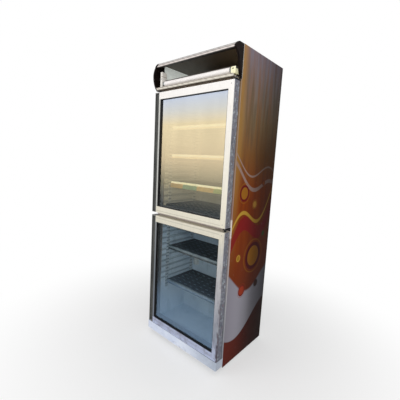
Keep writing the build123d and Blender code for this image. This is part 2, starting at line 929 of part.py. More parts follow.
# Duct covers: folded sheets in front of the cooling coil, with rows of air slots
air_columns = 4
air_slot = 6.0
air_row_pitch = 16.0
air_inset = 60.0
air_pitch = 2 * liner_half / (air_columns + 0.5)
with BuildPart() as duct_covers:
    for low, high in ((upper_floor, upper_ceiling), (step_level, lower_ceiling)):
        slab((-liner_half, liner_half), (cover_front, cold_back), (low, high))
        slab(
            (-liner_half + cover_sheet, liner_half - cover_sheet),
            (cover_front + cover_sheet, cold_back),
            (low, high),
            mode=Mode.SUBTRACT,
        )
        with BuildSketch(front_view(cover_front + cover_sheet)):
            with Locations((0, low + air_inset), (0, high - air_inset)):
                with GridLocations(air_pitch, air_row_pitch, air_columns, 2):
                    Rectangle(slot_share * air_pitch, air_slot)
        extrude(amount=cover_sheet, mode=Mode.SUBTRACT)
keep(duct_covers, "duct_covers")

# Probe housing: a half-round cover on the lower duct cover, near the left wall
probe_radius = 28.0
probe_height = 58.0
probe_aside = 8.0
probe_x = -liner_half + probe_radius + probe_aside
probe_low = ledge_level - ledge_height
with BuildPart() as probe_housing:
    with BuildSketch(Plane.XY.offset(probe_low)):
        with Locations((probe_x, cover_front)):
            Circle(probe_radius)
            with Locations((0, probe_radius)):
                Rectangle(2 * probe_radius, 2 * probe_radius, mode=Mode.SUBTRACT)
    extrude(amount=probe_height)
keep(probe_housing, "probe_housing")

# Cooling coils: a framed pack of fins, and the bends of its tube at the left side
coil_sheet = 1.5
fin_thick = 0.6
bend_length = 6.0
bend_width = 8.0


def finned_coil(x_span, y_span, z_span, fins, bends):
    """Add a coil to the open part."""
    with BuildSketch(front_view(y_span[1])) as pack:
        with Locations(((x_span[0] + x_span[1]) / 2, (z_span[0] + z_span[1]) / 2)):
            Rectangle(x_span[1] - x_span[0], z_span[1] - z_span[0])
            fin_space = (x_span[1] - x_span[0] - coil_sheet) / (fins + 1)
            inner_height = z_span[1] - z_span[0] - 2 * coil_sheet
            with GridLocations(fin_space, 1, fins + 1, 1):
                Rectangle(fin_space - fin_thick, inner_height, mode=Mode.SUBTRACT)
    extrude(pack.sketch, amount=y_span[1] - y_span[0])
    rise = (z_span[1] - z_span[0]) / bends
    middle = (y_span[0] + y_span[1]) / 2
    with BuildSketch(Plane.YZ.offset(x_span[0] - bend_length)) as tube_ends:
        with Locations(*[(middle, z_span[0] + rise * (n + 0.5)) for n in range(bends)]):
            SlotOverall(0.6 * rise, bend_width, rotation=90)
    extrude(tube_ends.sketch, amount=bend_length)


# Evaporator: hung on the back wall behind the upper duct cover
evaporator_inset = 88.0
evaporator_thick = 50.0
evaporator_height = 270.0
evaporator_drop = 55.0
evaporator_fins = 10
condenser_fins = 14
coil_bends = 2
evaporator_half = liner_half - evaporator_inset
evaporator_top = upper_ceiling - evaporator_drop
with BuildPart() as evaporator:
    finned_coil(
        (-evaporator_half, evaporator_half),
        (cold_back - evaporator_thick, cold_back),
        (evaporator_top - evaporator_height, evaporator_top),
        evaporator_fins,
        coil_bends,
    )
keep(evaporator, "evaporator")

# Header caps: hollow ends of the light box, with a bulged front
shoulder_behind = 14.0
shoulder_drop = 37.0
crown_behind = 47.0
crown_bow_behind = 26.0
crown_bow_drop = 12.5
foot_behind = 34.0
bulge_y = front - header_proud
shoulder_y = bulge_y + shoulder_behind
shoulder_z = overall_height - shoulder_drop
crown_y = bulge_y + crown_behind
cap_foot_y = bulge_y + foot_behind


def cap_outline():
    """Side outline of a header cap, bulged to the front."""
    with BuildLine() as border:
        Line((front, header_low), (front, overall_height))
        Line((front, overall_height), (crown_y, overall_height))
        ThreePointArc(
            (crown_y, overall_height),
            (bulge_y + crown_bow_behind, overall_height - crown_bow_drop),
            (shoulder_y, shoulder_z),
        )
        TangentArc((bulge_y, header_bulge), (shoulder_y, shoulder_z), tangent=(0, 1))
        TangentArc((bulge_y, header_bulge), (cap_foot_y, header_low), tangent=(0, -1))
        Line((cap_foot_y, header_low), (front, header_low))
    make_face(border.edges())


with BuildPart() as header_caps:
    for side in (-1, 1):
        outer = side * half_width
        with BuildSketch(Plane.YZ.offset(outer)):
            cap_outline()
        extrude(amount=-side * cap_wall)
        with BuildSketch(Plane.YZ.offset(outer - side * cap_plate)):
            cap_outline()
            offset(amount=-cap_rim, kind=Kind.INTERSECTION, mode=Mode.REPLACE)
        extrude(amount=-side * (cap_wall - cap_plate), mode=Mode.SUBTRACT)
        tongue_z = (header_low + 2 * cap_rim, overall_height - tongue_front)
        tongue_y = (front - tongue_front, front + tongue_reach)
        slab(on_side(side, cap_inner - tongue_thick, cap_inner), tongue_y, tongue_z)
        slab(
            on_side(side, cap_inner - tongue_thick, cap_inner + tongue_seat),
            (front - cap_rim, front - tongue_seat / 2),
            tongue_z,
        )
keep(header_caps, "header_caps")

# Header rails: the profiles that held the sign panel at its top and bottom edge
nose_behind = 18.0
nose_drop = 37.0
rail_wall = 2.5
rail_nose = front - header_proud + nose_behind
nose_low = roof_low - nose_drop
with BuildPart() as header_top_rail:
    with BuildSketch(Plane.YZ.offset(-cap_inner)):
        outline([
            (roof_front + 2.0, roof_low),
            (roof_front - 5.0, roof_low),
            (rail_nose + 11.0, roof_low - 10.0),
            (rail_nose, nose_low),
            (rail_nose + 20.0, nose_low),
            (rail_nose + 20.0, nose_low + rail_wall),
            (rail_nose + 4.0, nose_low + rail_wall),
            (rail_nose + 13.5, roof_low - 12.0),
            (roof_front - 4.0, roof_low - 3.0),
            (roof_front + 2.0, roof_low - 3.0),
        ])
    extrude(amount=2 * cap_inner)
keep(header_top_rail, "header_top_rail")

rail_under = header_low + 2.0
rail_rim = rail_under + 16.5
with BuildPart() as header_bottom_rail:
    with BuildSketch(Plane.YZ.offset(-cap_inner)):
        outline([
            (floor_edge + 2.0, foam_top),
            (floor_edge + 2.0, rail_under),
            (floor_edge - 10.0, rail_under),
            (rail_nose + 5.0, rail_under + 4.5),
            (rail_nose - 1.0, rail_rim),
            (rail_nose + 2.0, rail_rim),
            (rail_nose + 7.0, rail_under + 7.0),
            (floor_edge - 9.0, rail_under + rail_wall),
            (floor_edge - 0.5, rail_under + rail_wall),
            (floor_edge - 0.5, foam_top),
        ])
    extrude(amount=2 * cap_inner)
keep(header_bottom_rail, "header_bottom_rail")

# Header floor: the sheet over the insulated top, carried forward to the bottom rail
with BuildPart() as header_floor:
    with BuildSketch(Plane.XY.offset(foam_top)):
        between_panels(floor_edge, foam_back)
    extrude(amount=sheet)
keep(header_floor, "header_floor")

# Lamp: a batten on two feet, a tube in front of it, and the holders at its ends
floor_level = foam_top + sheet
batten_depth = 30.0
batten_behind = 6.0
batten_half = 18.0
batten_sheet = 1.0
batten_left_lap = 12.0
batten_right_lap = 4.0
batten_foot = 15.0
foot_from_end = 60.0
foot_flange = 20.0
batten_back = front + batten_behind
batten_front = batten_back - batten_depth
batten_low = lamp_level - batten_half
batten_high = lamp_level + batten_half
batten_left = lamp_left - batten_left_lap
batten_right = lamp_right + batten_right_lap
lamp_y = roof_front
with BuildPart() as lamp_batten:
    slab((batten_left, batten_right), (batten_front, batten_back), (batten_low, batten_high))
    slab(
        (batten_left + batten_sheet, batten_right - batten_sheet),
        (batten_front + batten_sheet, batten_back),
        (batten_low + batten_sheet, batten_high - batten_sheet),
        mode=Mode.SUBTRACT,
    )
    for foot in (lamp_left + foot_from_end, lamp_right - foot_from_end):
        foot_span = (foot - batten_foot, foot + batten_foot)
        slab(foot_span, (batten_back - batten_sheet, batten_back), (floor_level, batten_high - batten_sheet))
        slab(foot_span, (batten_back - foot_flange, batten_back), (floor_level, floor_level + batten_sheet))
keep(lamp_batten, "lamp_batten")

with BuildPart() as lamp_tube:
    crossbar((lamp_left, lamp_right), lamp_y, lamp_level, lamp_radius)
keep(lamp_tube, "lamp_tube")

# Left holder: a socket with a starter block above it; right holder: a plain socket
holder_wall = 2.0
left_holder_width = 30.0
right_holder_width = 22.0
starter_height = 31.0
holder_front = lamp_y - lamp_radius - holder_wall
holder_left = lamp_left - left_holder_width
holder_right = lamp_right + right_holder_width
starter_low = lamp_level + 37.0
starter_high = starter_low + starter_height
socket_span = (lamp_level - 30.0, lamp_level + 22.0)
hook_back = batten_front + 12.0
with BuildPart() as lamp_holders:
    slab((holder_left, lamp_left), (holder_front, batten_front), (batten_low, starter_low))
    slab(
        (holder_left, lamp_left - holder_wall),
        (holder_front + holder_wall, batten_front - holder_wall),
        (starter_low, starter_high),
    )
    slab((holder_left, batten_left), (batten_front, hook_back), (batten_low, starter_high))
    slab((lamp_right, holder_right), (holder_front, batten_front), socket_span)
    slab((batten_right, holder_right), (batten_front, hook_back), socket_span)
keep(lamp_holders, "lamp_holders")

# Pipe routes, shared by the compressor's stubs and the pipework
pipe_aside = 6.0
pipe_run = 45.0
pipe_bend = 14.0
discharge_radius = 3.0
liquid_radius = 2.5
suction_radius = 4.0
stub_length = 10.0
stub_radius = 5.0
inlet_drop = 44.5
outlet_rise = 69.5
high_level = coil_top - inlet_drop
low_level = base_top + inlet_drop
outlet_level = shell_low + outlet_rise
discharge_y = coil_front + coil_thick / 2 - pipe_aside
liquid_y = coil_front + coil_thick / 2 + pipe_aside
liquid_x = coil_right + pipe_run
suction_x = compressor_x + compressor_radius + pipe_run
discharge_start = compressor_x - (compressor_radius**2 - (compressor_y - discharge_y) ** 2) ** 0.5
discharge_stub_x = discharge_start - stub_length
suction_stub_x = compressor_x + compressor_radius + stub_length

# Compressor: a welded shell on a sprung foot plate, with its terminal cover
seam_share = 0.51
shoulder_share = 0.72
seam_thick = 5.0
seam_proud = 4.0
shell_round = 14.0
shell_top = shell_low + compressor_height
seam_low = shell_low + seam_share * compressor_height
seam_high = seam_low + seam_thick
shoulder_level = shell_low + shoulder_share * compressor_height
shell_right = compressor_x + compressor_radius
foot_plate_width = 176.0
foot_plate_depth = 124.0
grommet_size = 18.0
grommet_inset = 12.0
terminal_width = 40.0
terminal_height = 48.0
terminal_proud = 8.0
terminal_low = shell_low + 30.0
terminal_y = compressor_y - compressor_radius
with BuildPart() as compressor:
    with BuildSketch(front_view(compressor_y)):
        outline([
            (compressor_x, shell_low),
            (shell_right - shell_round, shell_low),
            (shell_right, shell_low + shell_round + 2.0),
            (shell_right, seam_low),
            (shell_right + seam_proud, seam_low),
            (shell_right + seam_proud, seam_high),
            (shell_right, seam_high),
            (shell_right, shoulder_level),
            (shell_right - 26.0, shell_top - 8.0),
            (compressor_x + 20.0, shell_top),
            (compressor_x, shell_top),
        ])
    revolve(axis=Axis((compressor_x, compressor_y, 0), (0, 0, 1)))
    with Locations((compressor_x, compressor_y, plate_low + foot_plate / 2)):
        Box(foot_plate_width, foot_plate_depth, foot_plate)
    with Locations((compressor_x, compressor_y, base_top + grommet_height / 2)):
        grommet_x = foot_plate_width - 2 * grommet_inset
        grommet_y = foot_plate_depth - 2 * grommet_inset
        with GridLocations(grommet_x, grommet_y, 2, 2):
            Box(grommet_size, grommet_size, grommet_height)
    slab(
        (compressor_x - terminal_width / 2, compressor_x + terminal_width / 2),
        (terminal_y - terminal_proud, terminal_y + 1.5 * terminal_proud),
        (terminal_low, terminal_low + terminal_height),
    )
    crossbar((discharge_stub_x, discharge_stub_x + 2 * stub_length), discharge_y, outlet_level, stub_radius)
    crossbar((suction_stub_x - 2 * stub_length, suction_stub_x), compressor_y, outlet_level, stub_radius)
keep(compressor, "compressor")

# Condenser: a finned coil that stands on the base tray
with BuildPart() as condenser:
    finned_coil(
        (coil_left, coil_right),
        (coil_front, coil_front + coil_thick),
        (base_top, coil_top),
        condenser_fins,
        coil_bends,
    )
keep(condenser, "condenser")

# Fan: a shroud behind the condenser, a motor on four arms, and the rotor on the motor's shaft
shroud_sheet = 1.5
shroud_front = coil_front + coil_thick
shroud_depth = 16.0
shroud_plate = shroud_front + shroud_depth
shroud_back = shroud_plate + shroud_sheet
fan_clear = 6.0
rotor_behind = 9.0
motor_behind = 22.0
rotor_y = shroud_plate + rotor_behind
hub_half = 8.0
hub_radius = 20.0
motor_front = shroud_plate + motor_behind
motor_length = 34.0
motor_radius = 36.0
arm_lap = 16.0
arm_radius = fan_radius + arm_lap
arm_width = 8.0
arm_thick = 3.0
shaft_radius = 4.0
with BuildPart() as fan_bracket:
    slab((coil_left, coil_right), (shroud_front, shroud_back), (base_top, coil_top))
    slab(
        (coil_left + shroud_sheet, coil_right - shroud_sheet),
        (shroud_front, shroud_plate),
        (base_top + shroud_sheet, coil_top - shroud_sheet),
        mode=Mode.SUBTRACT,
    )
    axle(fan_x, (shroud_plate - 1.0, shroud_back + 1.0), fan_z, fan_radius + fan_clear, mode=Mode.SUBTRACT)
    axle(fan_x, (motor_front, motor_front + motor_length), fan_z, motor_radius)
    for turn in (45, 135, 225, 315):
        reach_x = fan_x + arm_radius * cos(radians(turn))
        reach_z = fan_z + arm_radius * sin(radians(turn))
        with BuildSketch(front_view(motor_front + arm_thick)):
            with Locations(((reach_x + fan_x) / 2, (reach_z + fan_z) / 2)):
                Rectangle(arm_radius + arm_width, arm_width, rotation=turn)
        extrude(amount=arm_thick)
        with BuildSketch(front_view(motor_front + arm_thick)):
            with Locations((reach_x, reach_z)):
                Rectangle(arm_width, arm_width, rotation=turn)
        extrude(amount=motor_front + arm_thick - shroud_back)
    axle(fan_x, (rotor_y - hub_half, motor_front), fan_z, shaft_radius)
keep(fan_bracket, "fan_bracket")

# Fan rotor: five blades that flatten from the hub to the tip
blade_count = 5
blade_thick = 2.0
root_sink = 3.0
blade_root = hub_radius - root_sink
blade_stations = ((blade_root, 26.0, 38.0), (fan_radius, 56.0, 20.0))
with BuildPart() as fan_rotor:
    axle(fan_x, (rotor_y - hub_half, rotor_y + hub_half), fan_z, hub_radius)
    for n in range(blade_count):
        turn = radians(360.0 / blade_count * n)
        out = Vector(cos(turn), 0, sin(turn))
        across_blade = Vector(-sin(turn), 0, cos(turn))
        for radius, chord, pitch in blade_stations:
            lean = across_blade * cos(radians(pitch)) + Vector(0, sin(radians(pitch)), 0)
            middle = Vector(fan_x, rotor_y, fan_z) + out * radius
            with BuildSketch(Plane(middle, x_dir=lean, z_dir=out)):
                Rectangle(chord, blade_thick)
        loft(ruled=True)
    bore_span = (rotor_y - hub_half - 1.0, rotor_y + hub_half + 1.0)
    axle(fan_x, bore_span, fan_z, shaft_radius + turning_gap, mode=Mode.SUBTRACT)
keep(fan_rotor, "fan_rotor")


def pipe(points, radius):
    """Add a pipe to the open part, with a short slant run across each corner of its route."""
    route = [Vector(*points[0])]
    for before, corner, after in zip(points, points[1:], points[2:]):
        for end in (before, after):
            route.append(Vector(*corner) + (Vector(*end) - Vector(*corner)).normalized() * pipe_bend)
    route.append(Vector(*points[-1]))
    with BuildLine() as run:
        Polyline(*route)
    with BuildSketch(Plane(route[0], z_dir=route[1] - route[0])) as bore:
        Circle(radius)
    sweep(bore.sketch, path=run.line, transition=Transition.RIGHT)


# Pipework: discharge pipe, liquid pipe with its drier, and suction pipe
drier_radius = 9.0
drier_length = 50.0
drier_span = (low_level + pipe_run, low_level + pipe_run + drier_length)
with BuildPart() as pipework:
    pipe(
        [
            (discharge_stub_x, discharge_y, outlet_level),
            (discharge_start - pipe_run, discharge_y, outlet_level),
            (discharge_start - pipe_run, discharge_y, high_level),
            (coil_right, discharge_y, high_level),
        ],
        discharge_radius,
    )
    pipe(
        [
            (coil_right, liquid_y, low_level),
            (liquid_x, liquid_y, low_level),
            (liquid_x, liquid_y, machine_top),
        ],
        liquid_radius,
    )
    pipe(
        [
            (suction_stub_x, compressor_y, outlet_level),
            (suction_x, compressor_y, outlet_level),
            (suction_x, compressor_y, machine_top),
        ],
        suction_radius,
    )
    post(liquid_x, liquid_y, drier_span, drier_radius)
keep(pipework, "pipework")

# Places in the control dish, seen from behind: the knob, the switch and the cord gland
knob_x = control_x + control_pitch
switch_x = control_x
gland_x = control_x - control_pitch
knob_radius = 17.0
thermostat_half = 18.0
thermostat_rise = 14.0
thermostat_depth = 26.0
bush_depth = 20.0
shaft_depth = 16.0
switch_half = 10.0
switch_height = 13.5
switch_frame = 3.0
switch_depth = 24.0
switch_well = 14.0
switch_gap = 1.0
rocker_depth = 2.0
rocker_pivot_y = dish_floor - rocker_depth
rocker_pin = 1.5


def dish_plate(width, height, corner, amount, mode=Mode.ADD):
    """Extrude a rounded rectangle about the dish's centre, from the rear cover forwards."""
    with BuildSketch(front_view(panel_back)) as plate:
        with Locations((control_x, control_z)):
            RectangleRounded(width, height, corner)
    extrude(plate.sketch, amount=amount, mode=mode)


# Control box: a dish sunk in the rear cover, with the thermostat's body and bush and the switch's frame
with BuildPart() as control_box:
    dish_plate(control_width + 2 * dish_rim, control_height + 2 * dish_rim, dish_corner, dish_wall)
    slab(
        (control_x - control_width / 2 - dish_wall, control_x + control_width / 2 + dish_wall),
        (dish_floor - dish_wall, panel_back),
        (control_z - control_height / 2 - dish_wall, control_z + control_height / 2 + dish_wall),
    )
    dish_plate(control_width, control_height, dish_corner, control_depth, Mode.SUBTRACT)
    slab(
        (knob_x - thermostat_half, knob_x + thermostat_half),
        (dish_floor - thermostat_depth, dish_floor - dish_wall / 2),
        (control_z - thermostat_rise, control_z + thermostat_rise),
    )
    bush_span = (dish_floor - bush_depth, dish_floor)
    axle(knob_x, bush_span, control_z, shaft_radius + turning_gap, mode=Mode.SUBTRACT)
    frame_half = switch_half + switch_gap
    frame_rise = switch_height + 1.5 * switch_gap
    slab(
        (switch_x - frame_half - switch_frame, switch_x + frame_half + switch_frame),
        (dish_floor - switch_depth, dish_floor - dish_wall / 2),
        (control_z - frame_rise - switch_frame, control_z + frame_rise + switch_frame),
    )
    slab(
        (switch_x - frame_half, switch_x + frame_half),
        (dish_floor - switch_well, dish_floor),
        (control_z - frame_rise, control_z + frame_rise),
        mode=Mode.SUBTRACT,
    )
    for ear in (-1, 1):
        pin_end = frame_half - 2 * switch_gap
        pin_span = tuple(sorted((switch_x + ear * frame_half, switch_x + ear * pin_end)))
        crossbar(pin_span, rocker_pivot_y, control_z, rocker_pin)
keep(control_box, "control_box")

# Cord gland: a hexagon nut with a bore
gland_thick = 6.0
gland_radius = 11.0
gland_bore = 5.0
with BuildPart() as cord_gland:
    with BuildSketch(front_view(dish_floor + gland_thick)):
        with Locations((gland_x, control_z)):
            RegularPolygon(gland_radius, 6)
            Circle(gland_bore, mode=Mode.SUBTRACT)
    extrude(amount=gland_thick)
keep(cord_gland, "cord_gland")

# Thermostat knob: a fluted disc with a grip bar, on the shaft that turns in the bush
knob_clear = 1.0
knob_thick = 14.0
knob_flats = 12
flute_count = 6
flute_radius = 3.0
flute_aside = 0.6
grip_half = 3.0
grip_reach = 15.0
grip_proud = 4.0
knob_low = dish_floor + knob_clear
knob_high = knob_low + knob_thick
grip_low = knob_high - grip_proud / 2
with BuildPart() as thermostat_knob:
    with BuildSketch(front_view(knob_high)):
        with Locations((knob_x, control_z)):
            RegularPolygon(knob_radius, knob_flats)
            with PolarLocations(knob_radius + flute_aside, flute_count):
                RegularPolygon(flute_radius, 4, mode=Mode.SUBTRACT)
    extrude(amount=knob_high - knob_low)
    slab(
        (knob_x - grip_half, knob_x + grip_half),
        (grip_low, knob_high + grip_proud),
        (control_z - grip_reach, control_z + grip_reach),
    )
    axle(knob_x, (dish_floor - shaft_depth, knob_low + 1.0), control_z, shaft_radius)
keep(thermostat_knob, "thermostat_knob")

# Light switch: a rocker on the two pins of its frame
with BuildPart() as light_switch:
    with BuildSketch(Plane.YZ.offset(switch_x - switch_half)):
        outline([
            (dish_floor - 6.0, control_z - 10.0),
            (dish_floor + 1.0, control_z - switch_height),
            (dish_floor + 4.0, control_z - switch_height + 0.5),
            (dish_floor + 1.5, control_z),
            (dish_floor + 1.5, control_z + switch_height - 0.5),
            (dish_floor - 1.0, control_z + switch_height),
            (dish_floor - 6.0, control_z + 10.0),
        ])
        with Locations((rocker_pivot_y, control_z)):
            Circle(rocker_pin + turning_gap, mode=Mode.SUBTRACT)
    extrude(amount=2 * switch_half)
keep(light_switch, "light_switch")

# Rear cover: a louvred sheet over the machine compartment, with the window for the control dish
louvre_length = 96.0
louvre_pitch = 30.0
louvre_rise = 9.0
louvre_deep = 6.0
louvre_lip = 1.6
louvre_hood = 1.2
louvre_gap = 24.0
louvre_start = 30.0
louvre_base = base_top + louvre_start
cover_inset = 5.0
cover_clear = 1.0


def louvre(column, low):
    """Cut one slot in the open sheet and add the slanted blade that shades it."""
    span = (column - louvre_length / 2, column + louvre_length / 2)
    slab(span, (panel_back, back), (low, low + louvre_rise), mode=Mode.SUBTRACT)
    with BuildSketch(Plane.YZ.offset(span[0])) as blade:
        outline([
            (back, low + louvre_rise + louvre_hood),
            (back, low + louvre_rise + louvre_hood - louvre_lip),
            (panel_back - louvre_deep, low - louvre_lip),
            (panel_back - louvre_deep, low),
        ])
    extrude(blade.sketch, amount=louvre_length)


with BuildPart() as rear_cover:
    cover_half = half_width - cover_inset
    slab((-cover_half, cover_half), (panel_back, back), (base_top + cover_clear, rear_cover_top))
    slab(
        (control_x - control_width / 2, control_x + control_width / 2),
        (panel_back, back),
        (control_z - control_height / 2, control_z + control_height / 2),
        mode=Mode.SUBTRACT,
    )
    column_pitch = louvre_length + louvre_gap
    fan_columns = (fan_x, fan_x + column_pitch)
    compressor_columns = (compressor_x - column_pitch / 3, compressor_x + 2 * column_pitch / 3)
    for columns, rows in ((fan_columns, 6), (compressor_columns, 4)):
        for column in columns:
            for n in range(rows):
                louvre(column, louvre_base + n * louvre_pitch)
keep(rear_cover, "rear_cover")

# Front feet: screwed studs with a hexagon and a floor pad
pad_radius = 18.0
pad_thick = 7.0
hexagon_radius = 9.5
hexagon_thick = 5.0
stud_clear = 0.5
for name, side in (("left_foot", -1), ("right_foot", 1)):
    with BuildPart() as foot:
        post(side * foot_x, foot_y, (0.0, pad_thick), pad_radius)
        with BuildSketch(Plane.XY.offset(pad_thick)):
            with Locations((side * foot_x, foot_y)):
                RegularPolygon(hexagon_radius, 6)
        extrude(amount=hexagon_thick)
        stud_span = (pad_thick + hexagon_thick, base_level - stud_clear)
        post(side * foot_x, foot_y, stud_span, stud_radius)
    keep(foot, name)

# Rear rollers: wheels that turn on the axles of the base tray's brackets
wheel_clear = 1.0
for name, side in (("left_roller", -1), ("right_roller", 1)):
    wheel_half = ear_gap / 2 - wheel_clear
    wheel_span = (side * foot_x - wheel_half, side * foot_x + wheel_half)
    with BuildPart() as roller:
        crossbar(wheel_span, roller_y, roller_radius, roller_radius)
        crossbar(wheel_span, roller_y, roller_radius, axle_radius + turning_gap, mode=Mode.SUBTRACT)
    keep(roller, name)
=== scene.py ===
from math import cos, pi, sin, tau

import bmesh
import bpy
from mathutils import Matrix, Vector


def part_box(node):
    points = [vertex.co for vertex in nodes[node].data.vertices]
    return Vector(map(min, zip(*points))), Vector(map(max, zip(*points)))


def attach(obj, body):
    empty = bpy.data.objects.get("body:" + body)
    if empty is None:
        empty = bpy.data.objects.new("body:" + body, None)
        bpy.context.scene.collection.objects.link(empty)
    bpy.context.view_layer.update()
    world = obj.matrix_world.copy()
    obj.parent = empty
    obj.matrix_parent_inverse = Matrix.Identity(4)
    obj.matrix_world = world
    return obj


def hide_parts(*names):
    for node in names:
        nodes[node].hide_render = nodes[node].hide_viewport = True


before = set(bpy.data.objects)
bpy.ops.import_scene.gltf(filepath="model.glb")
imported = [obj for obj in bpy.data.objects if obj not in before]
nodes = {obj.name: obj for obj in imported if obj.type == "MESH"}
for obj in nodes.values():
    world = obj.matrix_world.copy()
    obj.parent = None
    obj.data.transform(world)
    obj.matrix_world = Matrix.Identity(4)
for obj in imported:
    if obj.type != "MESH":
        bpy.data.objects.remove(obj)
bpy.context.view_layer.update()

# Places that many pieces share, in metres, read from the frame
side_low, side_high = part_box("right_side_panel")
front = side_low[1]
panel_back = side_high[1]
half_width = side_high[0]
cabinet_top = side_high[2]
stile_low, stile_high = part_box("upper_hinge_stile")
door_front = stile_low[1]
door_side = stile_high[0]
lower_stile_low, lower_stile_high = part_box("lower_hinge_stile")
header_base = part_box("header_floor")[0][2]
holders_low, holders_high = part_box("lamp_holders")
tube_low, tube_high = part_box("lamp_tube")
rails_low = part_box("price_rails")[0]
mullion_low, mullion_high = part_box("mullion")
shelf_low, shelf_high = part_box("shelves")

# Places that the frame doesn't hold: the lamp, the shelves' upper faces, the ledges, and a level
# between the upper and the lower space at which colours change
tube_place = (0.0, -0.2390, 1.8560)
tube_radius = 0.0170
shelf_tops = (1.184, 1.384, 1.584, 0.412, 0.687)
ledge_pitch = 0.0457
upper_ledge_start = 1.045
lower_ledge_start = 0.446
space_split = 0.95


# Shader maths: a wrapped socket adds its Math nodes when an expression uses it
class Field:
    """A value that varies over a surface."""

    def __init__(self, paint, socket):
        self.paint = paint
        self.socket = socket

    def maths(self, operation, first, second=0.0):
        return self.paint.node("Math", {"operation": operation}, {0: first, 1: second})

    def __add__(self, other):
        return self.maths("ADD", self, other)

    def __radd__(self, other):
        return self.maths("ADD", other, self)

    def __sub__(self, other):
        return self.maths("SUBTRACT", self, other)

    def __rsub__(self, other):
        return self.maths("SUBTRACT", other, self)

    def __mul__(self, other):
        return self.maths("MULTIPLY", self, other)

    def __rmul__(self, other):
        return self.maths("MULTIPLY", other, self)

    def __truediv__(self, other):
        return self.maths("DIVIDE", self, other)

    def __pow__(self, other):
        return self.maths("POWER", self, other)

    def __abs__(self):
        return self.maths("ABSOLUTE", self)

    def sine(self):
        return self.maths("SINE", self)

    def most(self, other):
        return self.maths("MAXIMUM", self, other)

    def repeat(self, pitch):
        """Distance to the nearest of many lines, one pitch apart."""
        return self.maths("PINGPONG", self, pitch / 2)

    def above(self, edge, soft=0.001):
        """1 over the edge, 0 under it, with a soft step of that width."""
        sockets = {"Value": self, "From Min": edge - soft / 2, "From Max": edge + soft / 2}
        return self.paint.node("MapRange", {"interpolation_type": "SMOOTHSTEP"}, sockets)

    def between(self, low, high, soft=0.001):
        return self.above(low, soft) * (1 - self.above(high, soft))


class Paint:
    """One material in the making, or the light of the world round it."""

    def __init__(self, name, world=None):
        self.material = world or bpy.data.materials.new(name)
        self.material.use_nodes = True
        self.tree = self.material.node_tree
        self.tree.nodes.clear()

    def node(self, kind, settings=None, sockets=None, output=0):
        """Add a node: its settings first, then the values or links of its sockets."""
        made = self.tree.nodes.new("ShaderNode" + kind)
        for key, value in (settings or {}).items():
            if key == "stops":
                fill_ramp(made.color_ramp, value)
            else:
                setattr(made, key, value)
        for key, value in (sockets or {}).items():
            if isinstance(value, Field):
                self.tree.links.new(value.socket, made.inputs[key])
            else:
                made.inputs[key].default_value = value
        return Field(self, made.outputs[output]) if made.outputs else made

    def place(self, scale):
        """Object coordinates, scaled."""
        spot = self.node("TexCoord", output=3)
        return self.node("Mapping", {}, {"Vector": spot, "Scale": scale})

    def parts(self, vector):
        """The three numbers of a vector."""
        made = self.tree.nodes.new("ShaderNodeSeparateXYZ")
        self.tree.links.new(vector.socket, made.inputs[0])
        return [Field(self, output) for output in made.outputs]

    def axes(self):
        """The three object coordinates: across, deep and up."""
        return self.parts(self.node("TexCoord", output=3))

    def facing(self):
        """The three parts of the face's direction, in the piece's own axes."""
        return self.parts(self.node("TexCoord", output=1))

    def grain(self, scale, stretch=(1, 1, 1), detail=3.0, rough=0.5):
        """Soft noise about 0.5, drawn out along an axis where its stretch is small."""
        sockets = {
            "Vector": self.place(stretch),
            "Scale": scale,
            "Detail": detail,
            "Roughness": rough,
        }
        return self.node("TexNoise", {}, sockets)

    def cells(self, scale, stretch=(1, 1, 1)):
        """Distance to the nearest of many scattered points."""
        return self.node("TexVoronoi", {}, {"Vector": self.place(stretch), "Scale": scale})

    def mix(self, mask, under, over):
        """One colour over another where the mask is 1."""
        sockets = {0: mask, 6: under, 7: over}
        return self.node("Mix", {"data_type": "RGBA"}, sockets, output=2)

    def shade(self, colour, amount):
        """A colour made darker by a factor that varies."""
        grey = self.node("CombineXYZ", {}, {0: amount, 1: amount, 2: amount})
        sockets = {0: 1.0, 6: colour, 7: grey}
        return self.node("Mix", {"data_type": "RGBA", "blend_type": "MULTIPLY"}, sockets, output=2)

    def ramp(self, value, stops):
        """Colours along a value, as (place, colour) pairs."""
        return self.node("ValToRGB", {"stops": stops}, {"Fac": value})

    def wander(self, value, dark, light):
        """From one colour to another as a noise passes its middle."""
        return self.ramp(value, [(0.3, dark), (0.7, light)])

    def shell(self, colour, roughness, relief=None, depth=0.0002, **fixed):
        """A Principled shader; fixed holds the inputs that are the same all over."""
        sockets = {"Base Color": colour, "Roughness": roughness}
        sockets.update({key.replace("_", " "): value for key, value in fixed.items()})
        if relief is not None:
            sockets["Normal"] = self.node("Bump", {}, {"Height": relief, "Distance": depth})
        return self.node("BsdfPrincipled", {}, sockets)

    def done(self, shader):
        """Send the shader to the surface and return the material."""
        self.node("OutputMaterial", {}, {"Surface": shader})
        return self.material


def fill_ramp(ramp, stops):
    """Set a ramp's stops from (place, colour) pairs."""
    for place, colour in stops[1:-1]:
        ramp.elements.new(place)
    for element, (place, colour) in zip(ramp.elements, stops):
        element.position = place
        element.color = colour


def tone(red, green, blue):
    """A display colour of 0 to 255 as the linear colour that a shader takes."""
    parts = (part / 255 for part in (red, green, blue))
    return (*(((part + 0.055) / 1.055) ** 2.4 if part > 0.0404 else part / 12.92 for part in parts), 1.0)


def tint(colour, amount):
    """The same colour, lighter or darker."""
    return (*(min(1.0, part * amount) for part in colour[:3]), 1.0)


